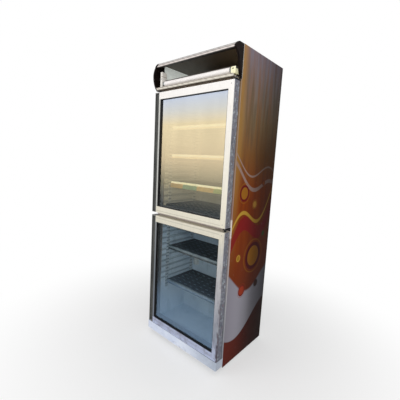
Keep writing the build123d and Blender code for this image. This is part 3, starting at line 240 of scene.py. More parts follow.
# Materials, each named for the finish that it gives
def plain_finish(name, light, dark, scale, rough, metallic=0.0, depth=0.0001, scratch=None, gloss=0.5):
    """A finish that wanders between two tones, with a fine relief, rubbed where a scratch colour is given."""
    paint = Paint(name)
    cloud = paint.grain(scale, detail=5.0, rough=0.6)
    colour = paint.wander(cloud, dark, light)
    if scratch:
        marks = paint.grain(scale * 5, (1, 1, 0.2), detail=6.0, rough=0.75).above(0.64, 0.08)
        colour = paint.mix(marks * 0.4, colour, scratch)
    fine = paint.grain(300.0, detail=2.0)
    spread = rough + 0.16 * cloud
    return paint.done(paint.shell(colour, spread, fine, depth, Metallic=metallic, Specular_IOR_Level=gloss))


def printed_film():
    """Side panels: printed film outside, pale sheet inside, with painted light in the light box, where the
    sheet gives off a faint light of its own in place of light on the inner wall.

    The film has streaks above, ribbons and rings below, a pale wave and a dark red foot.
    """
    paint = Paint("printed_film")
    across, deep, up = paint.axes()
    along = (deep - front) / (panel_back - front)
    height = up / cabinet_top
    ground = paint.ramp(height, [
        (0.00, tone(88, 32, 22)),
        (0.14, tone(96, 36, 22)),
        (0.40, tone(130, 56, 14)),
        (0.58, tone(138, 62, 14)),
        (0.70, tone(132, 88, 46)),
        (0.80, tone(134, 110, 80)),
        (0.90, tone(128, 115, 109)),
        (1.00, tone(132, 124, 136)),
    ])
    flame = paint.grain(7.0, stretch=(1, 4.2, 0.22), detail=3.0, rough=0.6)
    high = height.above(0.66, 0.3) * (1 - height.above(0.97, 0.16) * 0.6)
    ground = paint.mix(flame.above(0.52, 0.24) * high * 0.55, ground, tone(136, 88, 46))
    olive = paint.grain(11.0, stretch=(1, 3.0, 0.3), detail=2.0)
    ground = paint.mix(olive.above(0.56, 0.24) * high * 0.5, ground, tone(92, 84, 66))
    ground = paint.mix(olive.above(0.56, 0.2) * (1 - high) * 0.5, ground, tone(112, 44, 14))
    edge = (1 - along.above(0.09, 0.14)) * height.above(0.5, 0.5)
    ground = paint.mix(edge * 0.75, ground, tone(172, 128, 66))
    pale_line = up - (0.60 + 0.09 * (along * 4.6 + 2.6).sine() - 0.06 * along)
    pale = paint.ramp(along, [
        (0.0, tone(142, 138, 148)),
        (0.5, tone(170, 168, 178)),
        (1.0, tone(132, 130, 140)),
    ])
    ground = paint.mix(1 - pale_line.above(0.0, 0.02), ground, pale)
    for level, rise, wave, start, width, colour in (
        (0.80, 0.26, 0.10, 0.3, 0.046, tone(132, 22, 30)),
        (0.88, 0.28, 0.10, 0.6, 0.012, tone(198, 158, 60)),
        (1.30, -0.14, 0.06, 2.2, 0.013, tone(160, 136, 128)),
        (1.37, -0.12, 0.06, 2.6, 0.006, tone(164, 140, 130)),
    ):
        line = up - (level + rise * along + wave * (along * 6.0 + start).sine())
        ribbon = 1 - abs(line).above(width, 0.004)
        ground = paint.mix(ribbon * 0.85, ground, colour)
    for dot_along, dot_up, radius, rim, core in (
        (0.58, 0.72, 0.096, tone(84, 14, 18), tone(160, 104, 24)),
        (0.34, 0.50, 0.040, tone(122, 40, 26), tone(166, 60, 34)),
        (0.72, 0.50, 0.026, tone(44, 30, 28), tone(70, 38, 30)),
        (0.24, 1.16, 0.052, tone(104, 20, 22), tone(160, 104, 30)),
        (0.52, 1.08, 0.026, tone(158, 104, 40), tone(190, 140, 60)),
        (0.72, 1.22, 0.018, tone(104, 20, 22), tone(150, 84, 30)),
        (0.20, 0.74, 0.022, tone(196, 150, 60), tone(150, 110, 30)),
        (0.82, 0.86, 0.018, tone(58, 74, 34), tone(78, 96, 40)),
    ):
        aside = (along - dot_along) * (panel_back - front)
        away = (aside**2.0 + (up - dot_up) ** 2.0) ** 0.5
        ground = paint.mix(1 - away.above(radius, 0.003), ground, rim)
        ground = paint.mix((1 - away.above(radius * 0.74, 0.003)) * 0.95, ground, core)
        ground = paint.mix(away.between(radius * 1.16, radius * 1.24, 0.003) * 0.6, ground, core)
    foot_line = up - (0.27 + 0.10 * (along * 3.6 + 3.9).sine())
    foot = paint.ramp(along, [(0.0, tone(96, 36, 26)), (1.0, tone(62, 22, 14))])
    ground = paint.mix(1 - foot_line.above(0.0, 0.008), ground, foot)
    # Shade painted in to look like the photograph: darker to the back, and more so below the top
    ground = paint.shade(ground, 1.0 - 0.72 * along.above(0.62, 1.05))
    lower = 1 - height.above(0.82, 0.3)
    ground = paint.shade(ground, 1.0 - 0.45 * lower * along.above(0.45, 0.5) - 0.10 * lower)
    scuffs = paint.grain(60.0, stretch=(1, 1, 0.3), detail=5.0, rough=0.7).above(0.69, 0.05)
    ground = paint.mix(scuffs * 0.3, ground, tone(150, 140, 134))
    chips = paint.cells(26.0).above(0.055, 0.01)
    rim = (1 - (deep - front).above(0.006, 0.002)).most((deep - panel_back).above(-0.006, 0.002))
    ground = paint.mix(rim * (1 - chips) * 0.8, ground, tone(170, 166, 160))
    inside = 1 - abs(across).above(half_width - 0.0006, 0.0002)
    in_header = inside * up.above(header_base, 0.002)
    metal = paint.grain(30.0, detail=4.0)
    inner = paint.wander(metal, tone(226, 234, 230), tone(246, 248, 246))
    colour = paint.mix(inside, ground, inner)
    peel = paint.grain(420.0, detail=2.0)
    rough = 0.34 + 0.2 * paint.grain(14.0, detail=4.0)
    # Painted light: inside the light box the pale sheet gives off a faint light of its own, standing in for
    # the light that falls on the inner wall
    painted_glow = paint.mix(in_header, tone(0, 0, 0), tone(206, 212, 206))
    return paint.done(
        paint.shell(
            colour, rough, peel, 0.00012, Specular_IOR_Level=0.02, Emission_Color=painted_glow, Emission_Strength=0.4
        )
    )


def wear_marks(paint, amount):
    """A mask of rubbed patches and small chips, more of them where the amount is high."""
    rubbed = paint.grain(70.0, stretch=(1, 1, 0.35), detail=6.0, rough=0.78).above(0.63, 0.05)
    chips = 1 - paint.cells(120.0).above(0.13, 0.05)
    thin = paint.grain(12.0, detail=2.0).above(0.55, 0.1)
    return (rubbed * 0.5).most(chips * thin) * amount


def door_metal():
    """Door frames: anodised fronts with a painted reflection, pale at the top and bluish at the foot, also
    duller and dirtier towards the foot, and sides painted darker as shade, with mottling.
    """
    paint = Paint("door_metal")
    across, deep, up = paint.axes()
    out = paint.facing()[0]
    height = up / cabinet_top
    # Painted reflection and real wear: the fronts are pale towards the top and bluish and duller towards the
    # foot
    face = paint.ramp(height, [
        (0.040, tone(184, 194, 222)),
        (0.075, tone(176, 184, 208)),
        (0.130, tone(142, 148, 160)),
        (0.250, tone(172, 172, 178)),
        (0.390, tone(196, 194, 190)),
        (0.450, tone(222, 216, 198)),
        (0.550, tone(236, 230, 212)),
        (0.900, tone(252, 248, 244)),
    ])
    brushed = paint.grain(26.0, stretch=(8, 8, 0.5), detail=4.0)
    level = paint.grain(26.0, stretch=(0.5, 8, 8), detail=4.0)
    face = paint.shade(face, 1.0 - 0.07 * brushed.above(0.5, 0.4) - 0.03 * level.above(0.56, 0.2))
    # Painted shade: dark lines across the rails, as the shade in grooves of their profile
    groove_shade_half = 0.0025
    between_stiles = across.between(-stile_low[0], stile_low[0])
    for line in (lower_stile_high[2] - 0.016, stile_low[2] + 0.014, lower_stile_low[2] + 0.026):
        groove_shade = up.between(line - groove_shade_half, line + groove_shade_half, 0.002) * between_stiles
        face = paint.shade(face, 1.0 - 0.22 * groove_shade)
    low = 1 - height.above(0.30, 0.5)
    grime = paint.grain(22.0, stretch=(1, 1, 0.5), detail=6.0, rough=0.72)
    face = paint.mix(low * grime.above(0.55, 0.16) * 0.5, face, tone(108, 106, 116))
    face = paint.mix(wear_marks(paint, 0.18 + 0.5 * low), face, tone(84, 62, 60))
    streaks = paint.grain(40.0, stretch=(0.35, 6, 6), detail=5.0, rough=0.7).above(0.60, 0.05)
    face = paint.mix(streaks * (1 - height.above(0.1, 0.04)) * 0.6, face, tone(96, 70, 78))
    mottle = paint.grain(60.0, stretch=(1, 1, 0.6), detail=6.0, rough=0.75)
    # Painted shade: the sides are darker than the fronts, with mottling, specks and rust over it
    sides = out.above(0.5, 0.2)
    shaded_tone = paint.ramp(mottle, [
        (0.34, tone(26, 30, 40)),
        (0.43, tone(84, 94, 108)),
        (0.50, tone(104, 96, 112)),
        (0.56, tone(108, 120, 126)),
        (0.66, tone(186, 190, 198)),
    ])
    specks = 1 - paint.cells(80.0).above(0.26, 0.08)
    shaded_tone = paint.mix(specks * mottle.above(0.47, 0.1), shaded_tone, tone(18, 20, 28))
    rust = paint.grain(50.0, detail=4.0).above(0.62, 0.05)
    shaded_tone = paint.mix(rust * 0.45, shaded_tone, tone(118, 84, 78))
    # Painted highlight: a lighter strip on the sides next to the front edge
    edge = 1 - (deep - door_front).above(0.005, 0.003)
    shaded_tone = paint.mix(edge * 0.6, shaded_tone, tone(176, 176, 180))
    colour = paint.mix(sides * 0.94, face, shaded_tone)
    corner = (across - door_side).above(-0.010, 0.004) * (1 - (deep - door_front).above(0.010, 0.004))
    knocks = paint.grain(24.0, stretch=(1.5, 1.5, 0.5), detail=6.0, rough=0.7)
    colour = paint.mix(corner * low * knocks.above(0.56, 0.06) * 0.8, colour, tone(66, 48, 58))
    scrape = corner * up.between(0.125, 0.215, 0.02) * knocks.above(0.44, 0.06)
    colour = paint.mix(scrape * 0.85, colour, tone(54, 42, 54))
    rough = 0.34 + 0.18 * mottle
    return paint.done(paint.shell(colour, rough, brushed, 0.00006, Metallic=0.1, Specular_IOR_Level=0.25))


def handle_metal():
    """Handle profiles: dark coated outside, with a pale land beside the glass."""
    paint = Paint("handle_metal")
    land_start = -0.2895
    lip_end = -0.3345
    across, _, up = paint.axes()
    ahead = paint.facing()[1]
    height = up / cabinet_top
    cloud = paint.grain(18.0, stretch=(6, 6, 0.4), detail=4.0)
    coat = paint.wander(cloud, tone(62, 63, 62), tone(92, 93, 90))
    coat = paint.mix(wear_marks(paint, 0.4), coat, tone(150, 150, 152))
    pale = paint.ramp(height, [
        (0.05, tone(112, 118, 130)),
        (0.25, tone(104, 112, 120)),
        (0.44, tone(138, 142, 144)),
        (0.52, tone(188, 188, 184)),
        (0.90, tone(212, 212, 206)),
    ])
    pale = paint.shade(pale, 1.0 - 0.12 * cloud)
    land = across.above(land_start, 0.001) * (1 - ahead.above(-0.5, 0.2))
    outer_lip = (1 - across.above(lip_end, 0.001)) * (1 - ahead.above(0.5, 0.2))
    colour = paint.mix(land, coat, pale)
    colour = paint.mix(outer_lip * 0.35, colour, tone(150, 152, 156))
    return paint.done(paint.shell(colour, 0.32 + 0.14 * cloud, cloud, 0.00008, Specular_IOR_Level=0.3))


def trim_metal():
    """Front trims and mullion: satin metal, brown in the upper part, pale between the doors, rubbed."""
    paint = Paint("trim_metal")
    up = paint.axes()[2]
    height = up / cabinet_top
    brushed = paint.grain(30.0, stretch=(0.5, 8, 8), detail=4.0)
    colour = paint.ramp(height, [
        (0.05, tone(134, 138, 148)),
        (0.25, tone(166, 166, 170)),
        (0.42, tone(178, 158, 150)),
        (0.52, tone(146, 112, 104)),
        (0.60, tone(156, 126, 108)),
        (0.80, tone(158, 130, 100)),
        (0.95, tone(150, 120, 86)),
    ])
    between_doors = up.between(mullion_low[2], mullion_high[2], 0.01)
    colour = paint.mix(between_doors, colour, tone(226, 214, 208))
    colour = paint.shade(colour, 1.0 - 0.14 * brushed.above(0.5, 0.3))
    colour = paint.mix(wear_marks(paint, 0.6), colour, tone(96, 72, 66))
    return paint.done(paint.shell(colour, 0.36 + 0.16 * brushed, brushed, 0.00006, Metallic=0.2))


def header_rail(name, node, profile_light_bands):
    """Header rails: satin metal in level strips of painted light and shade across the profile, with slanting
    darker stripes.
    """
    low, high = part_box(node)
    paint = Paint(name)
    across, _, up = paint.axes()
    rise = (up - low[2]) / (high[2] - low[2])
    # Painted light and shade: pale strips where the profile faces the light, dark ones where it lies in shade
    colour = paint.ramp(rise, profile_light_bands)
    slant = (across + up * 1.6 + 0.02 * paint.grain(9.0, detail=2.0)) * 130.0
    streak_noise = paint.grain(34.0, stretch=(0.6, 3, 3), detail=5.0, rough=0.65)
    stripes = slant.sine().above(0.2, 1.0) * streak_noise.above(0.42, 0.3)
    colour = paint.shade(colour, 1.0 - 0.22 * stripes)
    colour = paint.mix(wear_marks(paint, 0.4), colour, tone(110, 98, 86))
    return paint.done(paint.shell(colour, 0.34 + 0.16 * streak_noise, streak_noise, 0.00006, Specular_IOR_Level=0.3))


def plinth_enamel():
    """Plinth: pale blue-white enamel, painted darker towards the right as shade, with scuffs along its foot.
    """
    paint = Paint("plinth_enamel")
    across, _, up = paint.axes()
    cloud = paint.grain(9.0, detail=5.0, rough=0.6)
    # Lit and shaded copies of the enamel: painted shade makes the right end darker
    lit_tone = paint.wander(cloud, tone(204, 214, 236), tone(228, 234, 246))
    shaded_tone = paint.wander(cloud, tone(158, 168, 184), tone(186, 194, 208))
    colour = paint.mix(across.above(0.16, 0.34), lit_tone, shaded_tone)
    scuffs = paint.grain(50.0, stretch=(0.35, 1, 1), detail=6.0, rough=0.75).above(0.61, 0.05)
    colour = paint.mix(scuffs * (1 - up.above(0.060, 0.03)) * 0.5, colour, tone(124, 122, 132))
    dents = 1 - paint.cells(36.0).above(0.10, 0.03)
    colour = paint.mix(dents * 0.4, colour, tone(96, 96, 108))
    return paint.done(paint.shell(colour, 0.28 + 0.16 * cloud, cloud, 0.00008))


def roof_sheet():
    """Roof: grey enamel with dust above, brown primer below, with painted shade that makes the primer darker
    to the left.
    """
    paint = Paint("roof_sheet")
    across = paint.axes()[0]
    over = paint.facing()[2]
    cloud = paint.grain(8.0, detail=5.0, rough=0.6)
    dust = paint.grain(40.0, detail=6.0, rough=0.7)
    above = paint.wander(cloud, tone(138, 134, 130), tone(170, 166, 160))
    above = paint.mix(dust.above(0.58, 0.1) * 0.4, above, tone(110, 102, 92))
    below = paint.wander(cloud, tone(84, 68, 48), tone(104, 84, 60))
    # Painted shade: the primer underneath is darker towards the left
    below = paint.shade(below, 0.45 + 0.45 * across.above(0.08, 0.4))
    colour = paint.mix(1 - over.above(-0.5, 0.2), above, below)
    return paint.done(paint.shell(colour, 0.4 + 0.2 * cloud, dust, 0.0001))


def back_sheet():
    """Back panel: galvanised outside, brown primer where the header shows it."""
    paint = Paint("back_sheet")
    ahead = paint.facing()[1]
    spangle = paint.cells(150.0, stretch=(1, 0.2, 0.8))
    zinc_tone = paint.ramp(spangle, [(0.1, tone(146, 151, 151)), (0.7, tone(168, 173, 172))])
    cloud = paint.grain(9.0, detail=5.0)
    stains = paint.grain(5.0, stretch=(1, 1, 0.4), detail=6.0, rough=0.7).above(0.60, 0.1)
    zinc_tone = paint.mix(stains * 0.4, zinc_tone, tone(116, 104, 92))
    below = paint.wander(cloud, tone(62, 50, 38), tone(86, 70, 52))
    colour = paint.mix(1 - ahead.above(-0.5, 0.2), zinc_tone, below)
    return paint.done(paint.shell(colour, 0.36 + 0.2 * cloud, cloud, 0.0001, Metallic=0.35))


def liner_plastic():
    """Moulded liner: one white plastic, painted with a yellowish lit tint above and a bluish shade below,
    with faint stains.

    Shade is painted in under each ledge and in the upper back of the lower space.
    """
    paint = Paint("liner_plastic")
    _, deep, up = paint.axes()
    upper = up.above(space_split, 0.01)
    cloud = paint.grain(6.0, detail=5.0, rough=0.6)
    # Lit and shaded copies of the one white: a yellowish lit tint for the upper space, a bluish painted shade
    # for the lower one
    lit_warm_tone = paint.wander(cloud, tone(228, 214, 178), tone(246, 236, 208))
    shaded_cool_tone = paint.wander(cloud, tone(172, 192, 208), tone(196, 214, 228))
    stains = paint.grain(16.0, stretch=(1, 1, 0.3), detail=6.0, rough=0.7).above(0.60, 0.1)
    lit_warm_tone = paint.mix(stains * 0.3, lit_warm_tone, tone(176, 158, 118))
    shaded_cool_tone = paint.mix(stains * 0.3, shaded_cool_tone, tone(120, 138, 154))
    colour = paint.mix(upper, shaded_cool_tone, lit_warm_tone)
    out = paint.facing()[0]
    shadow_drop = 0.015
    low_ledge = (up - (lower_ledge_start - shadow_drop)).repeat(ledge_pitch)
    high_ledge = (up - (upper_ledge_start - shadow_drop)).repeat(ledge_pitch)
    under = paint.mix(upper, low_ledge, high_ledge)
    under = 1 - paint.parts(under)[0].above(0.009, 0.010)
    side_wall = abs(out).above(0.6, 0.2) * (1 - deep.above(0.125, 0.004)) * up.above(lower_ledge_start - 0.02)
    colour = paint.mix(under * side_wall * 0.45, colour, tone(60, 68, 72))
    dim_corner = up.above(0.78, 0.24) * (1 - upper) * deep.above(0.05, 0.3)
    colour = paint.shade(colour, 1.0 - 0.62 * dim_corner)
    skin = paint.grain(500.0, detail=2.0)
    return paint.done(paint.shell(colour, 0.36 + 0.16 * cloud, skin, 0.00008, Coat_Weight=0.1))


def support_strip():
    """Slotted shelf uprights: pale coated strip, painted as a lit copy above and a bluish shaded copy below,
    with a row of hook slots painted dark as the shade inside them.
    """
    slot_pitch = 0.025
    slot_half = 0.0032
    paint = Paint("support_strip")
    up = paint.axes()[2]
    cloud = paint.grain(20.0, stretch=(1, 1, 0.4), detail=4.0)
    # Lit and shaded copies of the coat, for the upper and the lower space
    upper = paint.wander(cloud, tone(214, 206, 182), tone(236, 228, 204))
    lower = paint.wander(cloud, tone(150, 166, 178), tone(182, 196, 206))
    colour = paint.mix(up.above(space_split, 0.02), lower, upper)
    # Painted shade: each hook slot is a dark mark in the colour, with a little relief, not a hole
    slots = 1 - up.repeat(slot_pitch).above(slot_half, 0.001)
    colour = paint.mix(slots * 0.7, colour, tone(48, 54, 58))
    return paint.done(paint.shell(colour, 0.34 + 0.1 * cloud, 1 - slots, 0.0008, Metallic=0.1))


def rail_plastic():
    """Price rails: one pale plastic, painted as a lit pale yellow copy that gives off a faint light above and
    as a shaded grey copy below, darker at the foot.
    """
    paint = Paint("rail_plastic")
    up = paint.axes()[2]
    cloud = paint.grain(30.0, stretch=(0.4, 1, 1), detail=3.0)
    # Lit and shaded copies of the one plastic: pale yellow above, shaded grey below
    lit_warm_tone = paint.wander(cloud, tone(255, 244, 190), tone(255, 250, 214))
    shaded_cool_tone = paint.wander(cloud, tone(92, 106, 114), tone(116, 130, 136))
    for top in shelf_tops:
        foot = up.between(top - 0.030, top - 0.014, 0.003)
        lit_warm_tone = paint.mix(foot * 0.75, lit_warm_tone, tone(206, 176, 112))
        shaded_cool_tone = paint.mix(foot * 0.8, shaded_cool_tone, tone(44, 52, 56))
    sunk = 1 - up.above(min(shelf_tops) - 0.007, 0.003)
    shaded_cool_tone = paint.mix(sunk * 0.8, shaded_cool_tone, tone(122, 144, 166))
    upper = up.above(1.0, 0.1)
    colour = paint.mix(upper, shaded_cool_tone, lit_warm_tone)
    # Painted light: the upper rails give off a faint light of their own
    painted_glow = paint.mix(upper, tone(0, 0, 0), lit_warm_tone)
    return paint.done(
        paint.shell(colour, 0.22 + 0.1 * cloud, Coat_Weight=0.3, Emission_Color=painted_glow, Emission_Strength=0.5)
    )


def pane_glass(name, body, reflection_tints, shares):
    """Clear double glass whose outer face carries a painted reflection: a soft tinted sheen that changes with
    height.
    """
    glass_low, glass_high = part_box(body)
    paint = Paint(name)
    _, deep, up = paint.axes()
    height = (up - glass_low[2]) / (glass_high[2] - glass_low[2])
    clear = paint.node("BsdfTransparent", {}, {"Color": (0.985, 0.99, 0.988, 1)})
    # Soft streaks in the painted reflection
    sheen_streaks = paint.grain(5.0, stretch=(2.2, 1, 0.5), detail=4.0)
    sheen = paint.shell(paint.ramp(height, reflection_tints), 0.06 + 0.06 * sheen_streaks, Metallic=1.0)
    share = paint.ramp(height, [(place, (level, level, level, 1.0)) for place, level in shares])
    outer = 1 - deep.above(glass_low[1] + 0.0008, 0.0004)
    weight = paint.node("LayerWeight", {}, {"Blend": 0.10})
    mask = outer * share * (0.86 + 0.28 * sheen_streaks) + 0.10 * weight
    return paint.done(paint.node("MixShader", {}, {0: mask, 1: clear, 2: sheen}))


def batten_enamel():
    """Lamp batten: white enamel that gives off a faint painted light, dark brown along its top."""
    paint = Paint("batten_enamel")
    up = paint.axes()[2]
    cloud = paint.grain(20.0, detail=4.0)
    white = paint.wander(cloud, tone(244, 236, 230), tone(254, 248, 244))
    top_band = up.above(tube_place[2] + 0.016, 0.004)
    colour = paint.mix(top_band, white, tone(52, 42, 34))
    # Painted light: the white part gives off a faint light of its own, though it is no lamp
    painted_glow = paint.mix(top_band, white, tone(0, 0, 0))
    return paint.done(paint.shell(colour, 0.4 + 0.1 * cloud, Emission_Color=painted_glow, Emission_Strength=0.4))


def holder_plastic():
    """Lamp holders: white at the left end, aged to cream at the right one, with a dark joint line."""
    paint = Paint("holder_plastic")
    across, _, up = paint.axes()
    right_end = across.above(0.0, 0.01)
    cloud = paint.grain(30.0, detail=5.0)
    white = paint.wander(cloud, tone(238, 232, 222), tone(252, 248, 242))
    cream = paint.wander(cloud, tone(246, 240, 190), tone(255, 252, 222))
    colour = paint.mix(right_end, white, cream)
    joint = up.between(holders_high[2] - 0.033, holders_high[2] - 0.029, 0.002) * (1 - right_end)
    colour = paint.mix(joint * 0.7, colour, tone(150, 138, 120))
    return paint.done(paint.shell(colour, 0.30 + 0.14 * cloud, cloud, 0.0001))


def label_card(name, colour):
    """A faded coloured label card."""
    paint = Paint(name)
    cloud = paint.grain(40.0, detail=4.0)
    shade = paint.mix(cloud.above(0.45, 0.4) * 0.5, colour, tint(colour, 0.7))
    return paint.done(paint.shell(shade, 0.4 + 0.15 * cloud, cloud, 0.0001))


warm_white = plain_finish("warm_white", tone(244, 240, 234), tone(232, 224, 214), 12.0, 0.34)
grey_enamel = plain_finish(
    "grey_enamel", tone(168, 166, 162), tone(138, 138, 138), 8.0, 0.4, scratch=tone(96, 92, 88)
)
galvanised = plain_finish("galvanised", tone(170, 176, 174), tone(126, 132, 132), 45.0, 0.38, 0.5)
shelf_coat = plain_finish("shelf_coat", tone(52, 58, 60), tone(30, 34, 36), 22.0, 0.42, 0.2)
black_grain = plain_finish(
    "black_grain", tone(30, 22, 20), tone(14, 10, 9), 30.0, 0.46, depth=0.0003,
    scratch=tone(66, 60, 58), gloss=0.05
)
hinge_black = plain_finish("hinge_black", tone(46, 46, 48), tone(26, 26, 28), 60.0, 0.4, 0.4)
zinc = plain_finish("zinc_plate", tone(168, 172, 172), tone(128, 130, 126), 80.0, 0.34, 0.8)
dark_screw = plain_finish("dark_screw", tone(54, 52, 54), tone(28, 26, 28), 120.0, 0.4, 0.5)
plug_grey = plain_finish("plug_grey", tone(150, 148, 146), tone(104, 102, 100), 60.0, 0.5)
lamp_white = plain_finish("lamp_white", tone(252, 248, 246), tone(244, 238, 234), 12.0, 0.22)
probe_grey = plain_finish("probe_grey", tone(196, 206, 208), tone(168, 178, 182), 30.0, 0.4)
copper = plain_finish("copper_tube", tone(196, 122, 84), tone(130, 72, 48), 50.0, 0.3, 0.9)
coil_metal = plain_finish("coil_metal", tone(186, 190, 192), tone(140, 146, 150), 60.0, 0.34, 0.8)
rubber_black = plain_finish("rubber_black", tone(26, 26, 28), tone(12, 12, 14), 60.0, 0.55)
gasket_grey = plain_finish("gasket_grey", tone(120, 122, 124), tone(92, 94, 96), 40.0, 0.6)
spacer_bar = plain_finish("spacer_bar", tone(96, 98, 98), tone(66, 68, 70), 60.0, 0.34, 0.5)
# Top rail strips: painted shade along its foot and its top edge, and a painted highlight on the lit face
# between
top_rail_metal = header_rail(
    "top_rail_metal",
    "header_top_rail",
    [
        (0.00, tone(30, 24, 20)),
        (0.14, tone(36, 28, 24)),
        (0.20, tone(224, 214, 208)),
        (0.38, tone(232, 222, 216)),
        (0.44, tone(128, 120, 116)),
        (0.50, tone(168, 162, 158)),
        (0.68, tone(204, 198, 194)),
        (0.78, tone(150, 144, 140)),
        (0.84, tone(70, 64, 62)),
        (1.00, tone(54, 50, 48)),
    ],
)
# Bottom rail strips: painted shade along its foot and a painted highlight on its top edge
bottom_rail_metal = header_rail(
    "bottom_rail_metal",
    "header_bottom_rail",
    [
        (0.00, tone(96, 88, 78)),
        (0.16, tone(108, 98, 86)),
        (0.26, tone(226, 218, 204)),
        (0.74, tone(232, 226, 214)),
        (0.82, tone(150, 140, 124)),
        (0.93, tone(160, 150, 134)),
        (1.00, tone(250, 242, 234)),
    ],
)
# Painted reflection on the upper pane: its tints and their shares by height
upper_pane = pane_glass(
    "upper_pane",
    "upper_glass",
    [
        (0.02, tone(130, 140, 146)),
        (0.24, tone(186, 178, 150)),
        (0.45, tone(250, 228, 186)),
        (0.76, tone(255, 236, 192)),
        (0.87, tone(232, 232, 226)),
        (1.00, tone(214, 226, 248)),
    ],
    [(0.0, 0.10), (0.16, 0.30), (0.36, 0.58), (0.60, 0.74), (0.80, 0.80), (1.0, 0.84)],
)
# Painted reflection on the lower pane, bluish at the foot: its tints and their shares by height
lower_pane = pane_glass(
    "lower_pane",
    "lower_glass",
    [
        (0.00, tone(146, 180, 216)),
        (0.35, tone(126, 156, 188)),
        (0.60, tone(96, 112, 126)),
        (1.00, tone(84, 96, 108)),
    ],
    [(0.0, 0.40), (0.25, 0.30), (0.42, 0.10), (0.7, 0.04), (1.0, 0.03)],
)

holder_paint = holder_plastic()
liner_finish = liner_plastic()

finishes = {
    printed_film(): ("left_side_panel", "right_side_panel"),
    roof_sheet(): ("top_panel",),
    back_sheet(): ("back_panel",),
    grey_enamel: ("rear_cover",),
    galvanised: ("base_tray", "insulation"),
    plinth_enamel(): ("plinth",),
    warm_white: ("header_floor",),
    batten_enamel(): ("lamp_batten",),
    liner_finish: ("upper_liner", "lower_liner", "duct_covers"),
    support_strip(): ("shelf_supports",),
    trim_metal(): ("front_trims", "mullion"),
    top_rail_metal: ("header_top_rail",),
    bottom_rail_metal: ("header_bottom_rail",),
    hinge_black: ("bottom_hinge", "middle_hinge", "top_hinge", "compressor"),
    shelf_coat: ("shelves", "base_grille"),
    rail_plastic(): ("price_rails",),
    probe_grey: ("probe_housing",),
    coil_metal: ("evaporator", "condenser", "fan_rotor"),
    black_grain: (
        "header_caps", "control_box", "cord_gland", "thermostat_knob", "light_switch",
        "left_roller", "right_roller",
    ),
    plug_grey: ("upper_end_plugs", "lower_end_plugs"),
    lamp_white: ("lamp_tube",),
    holder_paint: ("lamp_holders",),
    zinc: ("fan_bracket", "left_foot", "right_foot"),
    copper: ("pipework",),
    handle_metal(): ("upper_handle_stile", "lower_handle_stile"),
    door_metal(): ("upper_hinge_stile", "lower_hinge_stile", "upper_door_rails", "lower_door_rails"),
    upper_pane: ("upper_glass",),
    lower_pane: ("lower_glass",),
    spacer_bar: ("upper_spacer", "lower_spacer"),
    rubber_black: ("upper_glazing_seal", "lower_glazing_seal"),
    gasket_grey: ("upper_gasket", "lower_gasket", "upper_glazing_bead", "lower_glazing_bead"),
}
for material, names in finishes.items():
    for name in names:
        nodes[name].data.materials.clear()
        nodes[name].data.materials.append(material)


# Building pieces
def piece(name, form, body, material, stands_for=()):
    """Turn a finished form into a piece of the object that moves with a body."""
    bmesh.ops.recalc_face_normals(form, faces=form.faces)
    mesh = bpy.data.meshes.new(name)
    form.to_mesh(mesh)
    form.free()
    mesh.materials.append(material)
    made = bpy.data.objects.new(name, mesh)
    bpy.context.collection.objects.link(made)
    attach(made, body)
    if stands_for:
        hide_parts(*stands_for)
    return made


def thicken(made, thickness):
    """Give a sheet its wall, on its inner side."""
    wall = made.modifiers.new("wall", "SOLIDIFY")
    wall.thickness = thickness
    wall.offset = -1.0


def stack(form, place, out, radius, steps, sides=16):
    """Add a round form built up along a direction: each step rises and scales the last ring."""
    out = Vector(out).normalized()
    turn = out.to_track_quat("Z", "Y").to_matrix().to_4x4()
    ring = bmesh.ops.create_circle(
        form, cap_ends=True, segments=sides, radius=radius, matrix=Matrix.Translation(place) @ turn
    )["verts"]
    end = ring[0].link_faces[0]
    for rise, scale in steps:
        made = bmesh.ops.extrude_face_region(form, geom=[end])["geom"]
        ends = [item for item in made if isinstance(item, bmesh.types.BMFace)]
        end = max(ends, key=lambda face: face.calc_center_median().dot(out))
        middle = end.calc_center_median()
        bmesh.ops.scale(form, verts=end.verts, vec=(scale, scale, scale), space=Matrix.Translation(-middle))
        bmesh.ops.translate(form, verts=end.verts, vec=out * rise)


def carried(form, corners, move):
    """Add the solid that a flat outline leaves when it is carried along, and return its end face."""
    face = form.faces.new([form.verts.new(corner) for corner in corners])
    made = bmesh.ops.extrude_face_region(form, geom=[face])["geom"]
    end = [item for item in made if isinstance(item, bmesh.types.BMVert)]
    bmesh.ops.translate(form, verts=end, vec=move)
    return next(item for item in made if isinstance(item, bmesh.types.BMFace))


def soften(form, radius, segments=2, sharp=0.6):
    """Round off the edges at which two faces meet sharply."""
    bmesh.ops.recalc_face_normals(form, faces=form.faces)
    edges = [e for e in form.edges if len(e.link_faces) == 2 and e.calc_face_angle() > sharp]
    bmesh.ops.bevel(
        form, geom=edges, offset=radius, segments=segments, affect="EDGES", profile=0.5, material=-1
    )


def rounded_slab(form, low, high, corner):
    """Add a thin upright plate that faces the front, with rounded corners."""
    steps = 6
    middles = (
        (high[0] - corner, high[2] - corner, 0.0), (low[0] + corner, high[2] - corner, pi / 2),
        (low[0] + corner, low[2] + corner, pi), (high[0] - corner, low[2] + corner, 1.5 * pi),
    )
    turns = [(x, z, start + step * pi / 2 / steps) for x, z, start in middles for step in range(steps + 1)]
    outline = [(x + corner * cos(turn), low[1], z + corner * sin(turn)) for x, z, turn in turns]
    carried(form, outline, (0, high[1] - low[1], 0))


pan_head = ((0.0006, 1.0), (0.0006, 0.86), (0.0002, 0.6), (0.0, 0.6), (-0.0008, 0.7))


def screws(name, body, material, out, places, radius=0.0036):
    """A set of pan-head screws that face one way."""
    form = bmesh.new()
    for place in places:
        stack(form, place, out, radius, pan_head, sides=12)
    piece(name, form, body, material)


